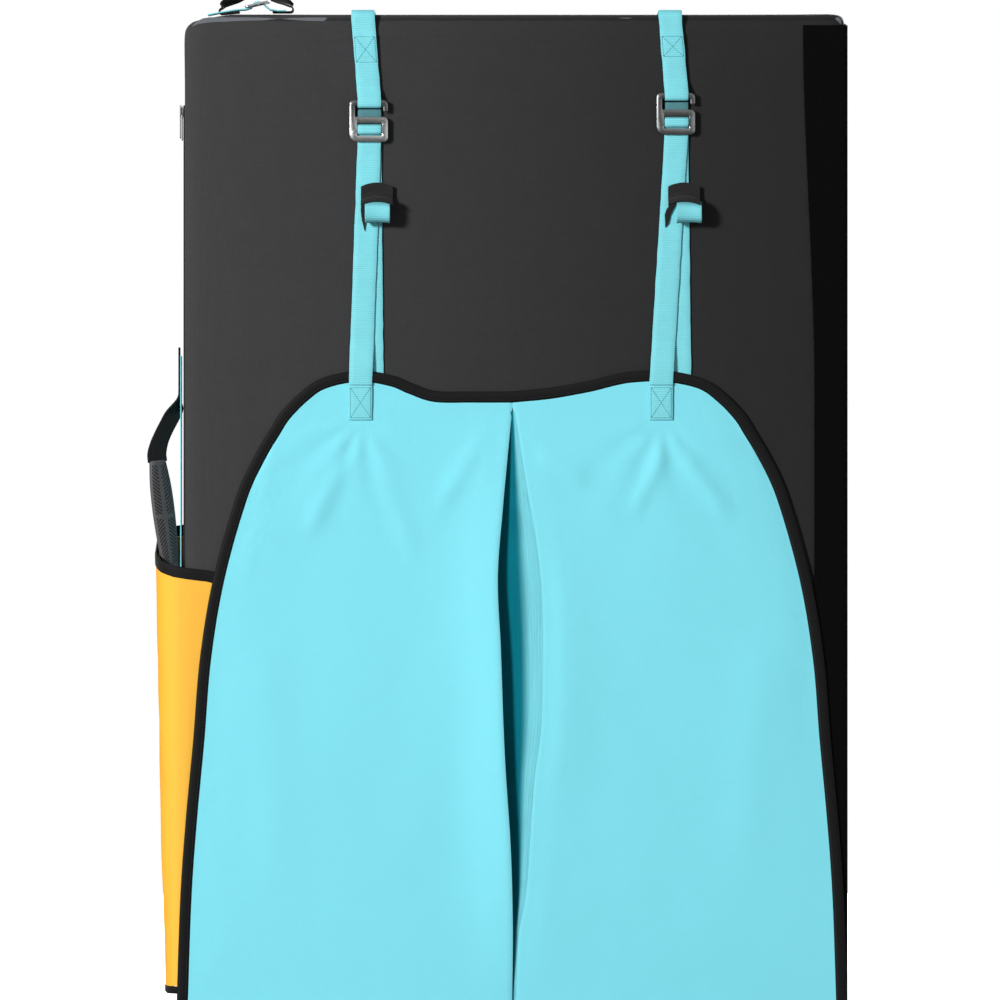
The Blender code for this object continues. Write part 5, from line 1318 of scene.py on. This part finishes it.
def copy_of(node, name, bevel=0.0002):
    """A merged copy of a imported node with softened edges."""
    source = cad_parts[node]
    mesh = source.data.copy()
    mesh.name = name
    mesh.transform(source.matrix_world)
    obj = bpy.data.objects.new(name, mesh)
    bpy.context.scene.collection.objects.link(obj)
    select_only(obj)
    bpy.ops.object.mode_set(mode="EDIT")
    bpy.ops.mesh.select_all(action="SELECT")
    bpy.ops.mesh.remove_doubles(threshold=MERGE)
    bpy.ops.mesh.tris_convert_to_quads()
    bpy.ops.object.mode_set(mode="OBJECT")
    if bevel:
        apply_modifier(obj, "BEVEL", width=bevel, segments=2, limit_method="ANGLE",
                       angle_limit=math.radians(50))
    return obj


def grip_frame():
    """The side grip's upper end, length, direction and the direction across its width."""
    top = Vector((GRIP_TOP[0], SIDE_HANDLE_Y, GRIP_TOP[1]))
    end = Vector((GRIP_END[0], SIDE_HANDLE_Y, GRIP_END[1]))
    along = (end - top).normalized()
    yaw = math.radians(GRIP_YAW_DEG)
    across = Vector((math.cos(yaw), math.sin(yaw), 0.0))
    across = (across - along * across.dot(along)).normalized()
    return top, (end - top).length, along, across


def add_side_handle():
    """Backing strap on the cover, the black webbing at both ends of the grip, and the grip."""
    y = SIDE_HANDLE_Y
    backing_x = SIDE_X - FIT - WEB_T / 2
    over_x = backing_x - WEB_T / 2 - FIT - BLACK_WEB_T / 2
    path = [Vector((backing_x, y, z)) for z in (BACKING_TOP_Z, BACKING_LOW_Z)]
    backing = ribbon("side_backing_webbing", path, WEB_W, WEB_T, TO_BACK)
    finish_piece(backing, LOOKS["strap"], "front_half", "side_handle_backing")
    top, length, along, turned = grip_frame()

    def webbing(word, sewn_z, free_z, reach):
        way = 1 if reach > 0 else -1
        end = top + along * (reach + way * 0.005)
        path = [Vector((over_x, y, sewn_z + (free_z - sewn_z) * k / 8)) for k in range(9)]
        across = [TO_BACK] * 9
        for k in range(1, 25):
            share = k / 24
            x = over_x + (end.x - over_x) * smoothed(share)
            path.append(Vector((x, y, free_z + (end.z - free_z) * share)))
            turn = smoothed((share - 0.05) / 0.35)
            across.append(TO_BACK.lerp(turned, turn).normalized())
        path.append(top + along * (reach - way * 0.0015))
        across.append(turned)
        obj = ribbon(f"side_{word}_webbing", path, WEB_W * 0.88, BLACK_WEB_T, across, columns=6)
        ends = ("front_half", "side_handle", (over_x, y, free_z), (over_x, y, end.z))
        finish_piece(obj, LOOKS["black_web"], ends, f"side_handle_{word}_webbing",
                     angle=50)

    webbing("upper", sewn_z=0.709, free_z=0.662, reach=0.0)
    webbing("lower", sewn_z=0.405, free_z=0.440, reach=length)
    add_side_grip()


def add_side_grip():
    """Moulded grip: flat oval in section, widest above its middle, with herringbone slots."""
    top, length, along, turned = grip_frame()
    out = turned.cross(along).normalized()
    if out.y > 0:
        out = -out
    widths = Curve([Vector((a, b)) for a, b in GRIP_WIDTH_SHARES])

    def place(u, v):
        around = 2 * math.pi * u
        a, b = math.cos(around), math.sin(around)
        share = widths.at(v).y * (0.90 if v in (0.0, 1.0) else 1.0)
        wide = GRIP_HALF_W * share * math.copysign(abs(a) ** 0.7, a)
        thick = GRIP_HALF_T * math.copysign(abs(b) ** 0.8, b) * (0.85 if v in (0.0, 1.0) else 1.0)
        return top + along * length * v + turned * wide + out * thick

    def measure(u, v):
        return (GRIP_HALF_W * math.cos(2 * math.pi * u), v * length)

    obj = grid("side_grip_moulding", 64, 90, place, measure)
    close_tube(obj)
    apply_modifier(obj, "BEVEL", width=0.0012, segments=3, limit_method="ANGLE",
                   angle_limit=math.radians(60))
    finish_piece(obj, LOOKS["side_grip"], "side_handle", "side_handle_grip", angle=50)


def close_tube(obj):
    """Joins the seam of a tube made from a grid and fills both of its ends."""
    select_only(obj)
    bpy.ops.object.mode_set(mode="EDIT")
    bpy.ops.mesh.select_all(action="SELECT")
    bpy.ops.mesh.remove_doubles(threshold=MERGE)
    bpy.ops.mesh.select_all(action="DESELECT")
    bpy.ops.mesh.select_mode(type="EDGE")
    bpy.ops.mesh.select_non_manifold()
    bpy.ops.mesh.edge_face_add()
    bpy.ops.object.mode_set(mode="OBJECT")
    outward(obj)


def add_top_handle():
    """Black webbing sewn flat at both ends, folded up and arched under the grip."""
    low = PAD_H + FIT + BLACK_WEB_T / 2
    r, left, right = TOP_HANDLE_R, TOP_HANDLE_LEFT, TOP_HANDLE_RIGHT
    middle, crest = (left + right) / 2, low + 2 * r
    shoulder_z = low + TOP_HANDLE_RISE * 0.80
    bow = Curve([(left + r, crest), ((left * 3 + right) / 4, shoulder_z), (middle, low + TOP_HANDLE_RISE),
                 ((left + right * 3) / 4, shoulder_z), (right - r, crest)])
    crown = [tuple(p) for p in bow.even(42)]
    points = [(left + 0.022, low)] + arc((left + r, low + r), r, -90, -270, 8)[:-1]
    points += crown + arc((right - r, low + r), r, 90, -90, 8)[1:] + [(right - 0.022, low)]
    path = refined([Vector((x, TOP_HANDLE_Y, z - top_drop(x))) for x, z in points])
    turned = []
    for at in path:
        leg = smoothed((at.z - crest + 0.002) / 0.010) * smoothed((abs(at.x - middle) - 0.019) / 0.010)
        lean = smoothed((at.z - crest) / 0.010) * smoothed((crest + 0.030 - at.z) / 0.014)
        at.x += math.copysign(0.0085 * lean, middle - at.x)
        turned.append(TO_BACK.lerp(Vector((0.9, 0.45, 0)), leg).normalized())
    handle = ribbon("top_handle_loop", path, WEB_W, BLACK_WEB_T, turned, columns=6)
    ends = ("front_half", "top_handle", (0, 0, PAD_H + 0.0015), (0, 0, PAD_H + 0.008))
    finish_piece(handle, LOOKS["black_web"], ends, "top_handle_webbing", angle=50)
    repaint("top_handle_grip", LOOKS["grip"])


def add_top_strap():
    """Turquoise webbing threaded through the tilted slider."""
    repaint("top_slider", LOOKS["metal"])
    tilt = math.radians(SLIDER_TILT_DEG)
    ahead = Vector((math.cos(tilt), 0, math.sin(tilt)))
    up = Vector((-math.sin(tilt), 0, math.cos(tilt)))
    slider_x, half_l = SLIDER_X, SLIDER_HALF_L
    centre = Vector((slider_x, TOP_STRAP_Y, PAD_H + 0.0080))
    base_z = PAD_H + FIT + WEB_T / 2
    over = SLIDER_T / 2 + FIT + WEB_T / 2
    gap = (half_l - SLIDER_BAR + SLIDER_BAR / 2) / 2
    path = [Vector((TOP_STRAP_LEFT, TOP_STRAP_Y, base_z)),
            Vector(((TOP_STRAP_LEFT + slider_x - half_l) / 2, TOP_STRAP_Y, base_z))]
    through = [(-half_l, -over * 1.15), (-gap - WEB_T, -over), (-gap, 0), (-0.002, over), (0.002, over),
               (gap, 0), (gap + WEB_T, -over)]
    path += [centre + ahead * a + up * c for a, c in through]
    path.append(Vector((slider_x + half_l, TOP_STRAP_Y, base_z + WEB_T)))
    path.append(Vector(((slider_x + half_l + TOP_STRAP_RIGHT) / 2, TOP_STRAP_Y, base_z)))
    path.append(Vector((TOP_STRAP_RIGHT, TOP_STRAP_Y, base_z)))
    path = [at - Vector((0, 0, top_drop(at.x))) for at in refined(path)]
    strap = ribbon("top_strap_webbing", path, WEB_W, WEB_T, TO_BACK)
    finish_piece(strap, LOOKS["strap"], "front_half", "top_strap", angle=50)


def shoulder_path(x, root_y):
    """The padded strap's middle line, standing off the back between its ends."""
    path = []
    for k in range(SHOULDER_ROWS + 1):
        share = k / SHOULDER_ROWS
        free = min(max((share * 12 - 1) / 10, 0.0), 1.0)
        bow = SHOULDER_BOW * max(math.sin(math.pi * free), 0.0) ** 0.8
        z = SHOULDER_TOP_Z - (SHOULDER_TOP_Z - SHOULDER_LOW_Z) * share
        path.append(Vector((x, root_y + bow, z)))
    return path


def out_of_band(path, k):
    """The direction square to the padded strap's band at one of its rows."""
    along = (path[min(k + 1, SHOULDER_ROWS)] - path[max(k - 1, 0)]).normalized()
    return TO_RIGHT.cross(along).normalized()


def add_shoulder_pad(side, x, root_y):
    """Stuffed band with its thin sewn edges and two rows of stitches."""
    path = shoulder_path(x, root_y)

    def place(u, v):
        around = 2 * math.pi * u
        k = round(v * SHOULDER_ROWS)
        a, b = math.cos(around), math.sin(around)
        edge = 0.0315 * math.copysign(abs(a) ** 0.45, a)
        thick = 0.0056 * math.copysign(abs(b) ** 0.75, b) * (0.35 + 0.65 * smoothed((1 - abs(a)) * 3))
        thick *= 0.6 + 0.4 * smoothed(min(v, 1 - v) * 10)
        return path[k] + TO_RIGHT * edge + out_of_band(path, k) * thick

    obj = grid(f"shoulder_pad_{side}", 40, SHOULDER_ROWS, place, lambda u, v: (u * 0.13, v * 0.43))
    close_tube(obj)
    body = f"shoulder_{side}"
    finish_piece(obj, LOOKS["black_cloth"], body, f"shoulder_strap_{side}", angle=60)
    rows = []
    for hand in (-1, 1):
        row = []
        for k in range(1, SHOULDER_ROWS):
            out = out_of_band(path, k)
            if out.y < 0:
                out = -out
            row.append(path[k] + Vector((hand * 0.0275, 0, 0)) + out * 0.0030)
        rows += list(zip(row, row[1:]))
    sew(f"shoulder_stitches_{side}", rows, TO_BACK, LOOKS["teal_thread"], body, "turquoise_fabric")


def add_shoulder_webbing(side, x, root_y):
    """Webbing from its anchor at the back up through the adjuster's slots."""
    repaint(f"shoulder_adjuster_{side}", LOOKS["plastic"])
    half, bar = ADJUSTER_HALF_H, ADJUSTER_BAR
    middle_z = SHOULDER_LOW_Z - FIT - half
    start = root_y - ADJUSTER_T / 2
    behind, front = start - FIT - WEB_T / 2, start + ADJUSTER_T + FIT + WEB_T / 2
    slot = (half - bar) / 2
    through = [(behind, -half - WEB_T), (behind, -slot - WEB_T), (root_y, -slot), (front, -bar),
               (front, bar), (root_y, slot), (behind, slot + WEB_T), (behind, half - FIT)]
    low_y = HALF_T + FIT + WEB_T / 2
    points = [(low_y, 0.180 + FIT), (low_y, ANCHOR_TOP_Z)] + [(y, middle_z + z) for y, z in through]
    web = ribbon(f"shoulder_lower_webbing_{side}", yz(points, x), WEB_W, WEB_T)
    ends = ("back_half", f"shoulder_{side}", (x, low_y, 0.21), (x, low_y, middle_z - 0.02))
    finish_piece(web, LOOKS["black_web"], ends, f"shoulder_webbing_{side}", angle=50)
    node = f"shoulder_anchor_{side}"
    anchor = copy_of(node, f"anchor_patch_{side}", bevel=0.0004)
    finish_piece(anchor, LOOKS["black_cloth"], "back_half", node)


def add_shoulder(side, way):
    """Padded shoulder strap, and the webbing with its adjuster below it."""
    x = way * SHOULDER_X
    root_y = HALF_T + FIT + YOKE_T + FIT + SHOULDER_T / 2
    add_shoulder_pad(side, x, root_y)
    add_shoulder_webbing(side, x, root_y)


def add_hip_belt(side, way):
    """One half of the hip belt with its half of the buckle."""
    y = HALF_T + FIT + BLACK_WEB_T / 2
    path = [Vector((way * HIP_OUT_X, y, HIP_Z)), Vector((way * (HIP_IN_X + FIT), y, HIP_Z))]
    belt = ribbon(f"hip_webbing_{side}", path, HIP_W, BLACK_WEB_T, Vector((0, 0, 1)))
    finish_piece(belt, LOOKS["hip_web"], f"hip_{side}", f"hip_belt_{side}")
    repaint("hip_buckle_plug" if way < 0 else "hip_buckle_socket", LOOKS["plastic"])


def add_yoke():
    """The patch that both shoulder straps are sewn under."""
    yoke = copy_of("shoulder_yoke", "yoke_patch", bevel=0.0006)
    finish_piece(yoke, LOOKS["black_cloth"], "back_half", "shoulder_yoke")
    y = HALF_T + FIT + YOKE_T + THREAD_RISE
    a, b = Vector((-YOKE_SEAM_X, y, YOKE_SEAM_LOW_Z)), Vector((YOKE_SEAM_X, y, YOKE_SEAM_LOW_Z))
    c, d = Vector((YOKE_SEAM_X, y, YOKE_SEAM_TOP_Z)), Vector((-YOKE_SEAM_X, y, YOKE_SEAM_TOP_Z))
    lines = [(a, b), (b, c), (c, d), (d, a)]
    sew("yoke_stitches", lines, TO_BACK, LOOKS["teal_thread"], "back_half", "turquoise_fabric")


def area_lamp(name, place, target, size, power):
    """A round lamp at a place, turned to its target."""
    data = bpy.data.lights.new(name, "AREA")
    data.shape = "DISK"
    data.size = size
    data.energy = power
    obj = bpy.data.objects.new(name, data)
    obj.location = place
    obj.rotation_euler = (Vector(target) - Vector(place)).to_track_quat("-Z", "Y").to_euler()
    bpy.context.scene.collection.objects.link(obj)


def add_world(props):
    """White all round for the camera and in reflections, and a weaker light on the part."""
    world = bpy.data.worlds.new("studio")
    bpy.context.scene.world = world
    world.use_nodes = True
    nodes, links = world.node_tree.nodes, world.node_tree.links
    light, seen = nodes["Background"], nodes.new("ShaderNodeBackground")
    for background, strength in ((light, props.sky_strength), (seen, 1.0)):
        background.inputs["Color"].default_value = (1, 1, 1, 1)
        background.inputs["Strength"].default_value = strength
    path = nodes.new("ShaderNodeLightPath")
    either = nodes.new("ShaderNodeMath")
    either.operation = "MAXIMUM"
    links.new(path.outputs["Is Camera Ray"], either.inputs[0])
    links.new(path.outputs["Is Glossy Ray"], either.inputs[1])
    mix = nodes.new("ShaderNodeMixShader")
    links.new(either.outputs[0], mix.inputs["Fac"])
    links.new(light.outputs["Background"], mix.inputs[1])
    links.new(seen.outputs["Background"], mix.inputs[2])
    links.new(mix.outputs["Shader"], nodes["World Output"].inputs["Surface"])


def add_stage(props):
    """Floor, shadow card, lamps and room light."""
    bpy.ops.object.select_all(action="DESELECT")
    bpy.ops.mesh.primitive_plane_add(size=7.0, location=(0, 0, 0))
    floor = bpy.context.object
    floor.name = "studio_floor"
    look = Look("studio_floor")
    x, y, z = look.axes("Object")
    cloud = look.noise(look.point(x, y, z), 3, 2.0)
    path = look.node("ShaderNodeLightPath", {}, {})
    floor_tone = look.mix(path.outputs["Is Camera Ray"], (0.20, 0.20, 0.20), (0.72, 0.72, 0.72))
    look.finish(Base_Color=floor_tone, Roughness=0.85 + (cloud - 0.5) * 0.05)
    glow = look.node("ShaderNodeEmission", {}, {"Color": (1, 1, 1, 1), "Strength": 0.85})
    add = look.node("ShaderNodeAddShader", {}, {0: look.shader.outputs[0], 1: glow.outputs[0]})
    mix = look.node("ShaderNodeMixShader", {}, {0: path.outputs["Is Camera Ray"],
                                               1: look.shader.outputs[0], 2: add.outputs[0]})
    look.links.new(mix.outputs[0], look.nodes["Material Output"].inputs["Surface"])
    floor.data.materials.append(look.material)
    bpy.ops.mesh.primitive_plane_add(size=7.0, location=(0, -13.5, 1.2), rotation=(math.pi / 2, 0, 0))
    card = bpy.context.object
    card.name = "studio_card"
    shadow = Look("studio_card")
    shadow.finish(Base_Color=(0.10, 0.10, 0.10), Roughness=0.9)
    card.data.materials.append(shadow.material)
    add_world(props)
    area_lamp("key_lamp", (-4.8, -5.3, 2.7), (0, 0, 0.55), 1.4, props.key_power)
    area_lamp("fill_lamp", (2.8, -3.6, 1.2), (0, 0, 0.5), 2.6, props.fill_power)
    area_lamp("back_lamp", (1.8, 4.6, 2.6), (0, 0.3, 0.5), 2.4, props.key_power * 0.75)


def add_camera():
    """A long lens straight at the face, as in the photo."""
    data = bpy.data.cameras.new("photo_camera")
    data.sensor_width = SENSOR_MM
    data.lens = SENSOR_MM * CAMERA_DISTANCE / VIEW_WIDTH
    data.clip_end = 60.0
    camera = bpy.data.objects.new("photo_camera", data)
    camera.location = (-0.0155, FACE_Y - CAMERA_DISTANCE, 0.5458)
    camera.rotation_euler = (math.pi / 2, 0, 0)
    bpy.context.scene.collection.objects.link(camera)
    bpy.context.scene.camera = camera


class CrashPadSettings(bpy.types.PropertyGroup):
    cover_colour: bpy.props.FloatVectorProperty(
        name="Cover", description="Cloth of both halves", subtype="COLOR", size=3, min=0, max=1,
        default=rgb(48, 48, 49))
    flap_colour: bpy.props.FloatVectorProperty(
        name="Flap", description="Cloth of the closing flap", subtype="COLOR", size=3, min=0, max=1,
        default=rgb(128, 222, 236))
    strap_colour: bpy.props.FloatVectorProperty(
        name="Straps", description="Webbing of the closing straps", subtype="COLOR", size=3, min=0, max=1,
        default=rgb(122, 212, 222))
    wing_colour: bpy.props.FloatVectorProperty(
        name="Wing", description="Cloth of the side wing", subtype="COLOR", size=3, min=0, max=1,
        default=rgb(248, 186, 66))
    key_power: bpy.props.FloatProperty(
        name="Key lamp", description="Power of the lamp at the upper left", unit="POWER", default=655.0)
    fill_power: bpy.props.FloatProperty(
        name="Fill lamps", description="Power of the soft lamps", unit="POWER", default=16.0)
    sky_strength: bpy.props.FloatProperty(
        name="Room light", description="Strength of the light from all round", default=0.11)


def settings():
    return bpy.context.scene.crash_pad


class BuildStep:
    bl_options = {"REGISTER", "UNDO"}

    def execute(self, context):
        self.build(settings())
        return {"FINISHED"}


class AddStage(BuildStep, bpy.types.Operator):
    """Floor, lamps, room light and camera"""

    bl_idname = "crash_pad.stage"
    bl_label = "Stage"

    def build(self, props):
        add_camera()
        add_stage(props)


class AddLooks(BuildStep, bpy.types.Operator):
    """Cloth, webbing, metal, rubber, plastic and foam materials"""

    bl_idname = "crash_pad.looks"
    bl_label = "Materials"

    def build(self, props):
        make_looks(props)


class AddHalves(BuildStep, bpy.types.Operator):
    """Both halves: cover, foams, zip and its slider, and the fold between them"""

    bl_idname = "crash_pad.halves"
    bl_label = "Halves"

    def build(self, props):
        for kind, way in (("back", 1), ("front", -1)):
            add_cover(kind, way)
            add_foams(kind)
            repaint(f"{kind}_zip", LOOKS["zip"])
            repaint(f"{kind}_zip_slider", LOOKS["metal"])
        add_fold()
        add_joining_tape()


class AddFlap(BuildStep, bpy.types.Operator):
    """Closing flap with its pleat, binding and the panel under the pad"""

    bl_idname = "crash_pad.flap"
    bl_label = "Flap"

    def build(self, props):
        add_flap_panel(-1)
        add_flap_panel(1)
        add_flap_underlay()
        add_flap_binding()
        add_base_cloth()


class AddWing(BuildStep, bpy.types.Operator):
    """Side wing with its bindings"""

    bl_idname = "crash_pad.wing"
    bl_label = "Wing"

    def build(self, props):
        add_wing()


class AddClosingStraps(BuildStep, bpy.types.Operator):
    """Closing straps with their stitches, coils, keepers and hooks"""

    bl_idname = "crash_pad.closing_straps"
    bl_label = "Closing straps"

    def build(self, props):
        for side, strap in STRAPS.items():
            add_closing_strap(side, strap)
            add_roll(side, strap)
            add_keeper(side)
            node, body = f"hook_buckle_{side}", f"hook_{side}"
            hook = copy_of(node, f"hook_frame_{side}", bevel=0.0010)
            finish_piece(hook, LOOKS[body], body, node, angle=60)


class AddHandles(BuildStep, bpy.types.Operator):
    """Side handle, top handle and the strap with its slider"""

    bl_idname = "crash_pad.handles"
    bl_label = "Handles"

    def build(self, props):
        add_side_handle()
        add_top_handle()
        add_top_strap()


class AddCarrying(BuildStep, bpy.types.Operator):
    """Yoke, shoulder straps and hip belt on the back"""

    bl_idname = "crash_pad.carrying"
    bl_label = "Carrying system"

    def build(self, props):
        add_yoke()
        for side, way in (("left", -1), ("right", 1)):
            add_shoulder(side, way)
            add_hip_belt(side, way)


STEPS = [AddStage, AddLooks, AddHalves, AddFlap, AddWing, AddClosingStraps, AddHandles, AddCarrying]


class CrashPadPanel(bpy.types.Panel):
    bl_idname = "VIEW3D_PT_crash_pad"
    bl_label = "Crash pad"
    bl_space_type = "VIEW_3D"
    bl_region_type = "UI"
    bl_category = "Crash pad"

    def draw(self, context):
        for name in CrashPadSettings.__annotations__:
            self.layout.prop(settings(), name)
        for step in STEPS:
            self.layout.operator(step.bl_idname)


CLASSES = [CrashPadSettings, *STEPS, CrashPadPanel]


def register():
    for cls in CLASSES:
        bpy.utils.register_class(cls)
    bpy.types.Scene.crash_pad = bpy.props.PointerProperty(type=CrashPadSettings)


def unregister():
    del bpy.types.Scene.crash_pad
    for cls in reversed(CLASSES):
        bpy.utils.unregister_class(cls)


def main():
    register()
    bpy.context.scene.view_settings.view_transform = "Standard"
    for step in STEPS:
        group, word = step.bl_idname.split(".")
        getattr(getattr(bpy.ops, group), word)()


if __name__ == "__main__":
    main()
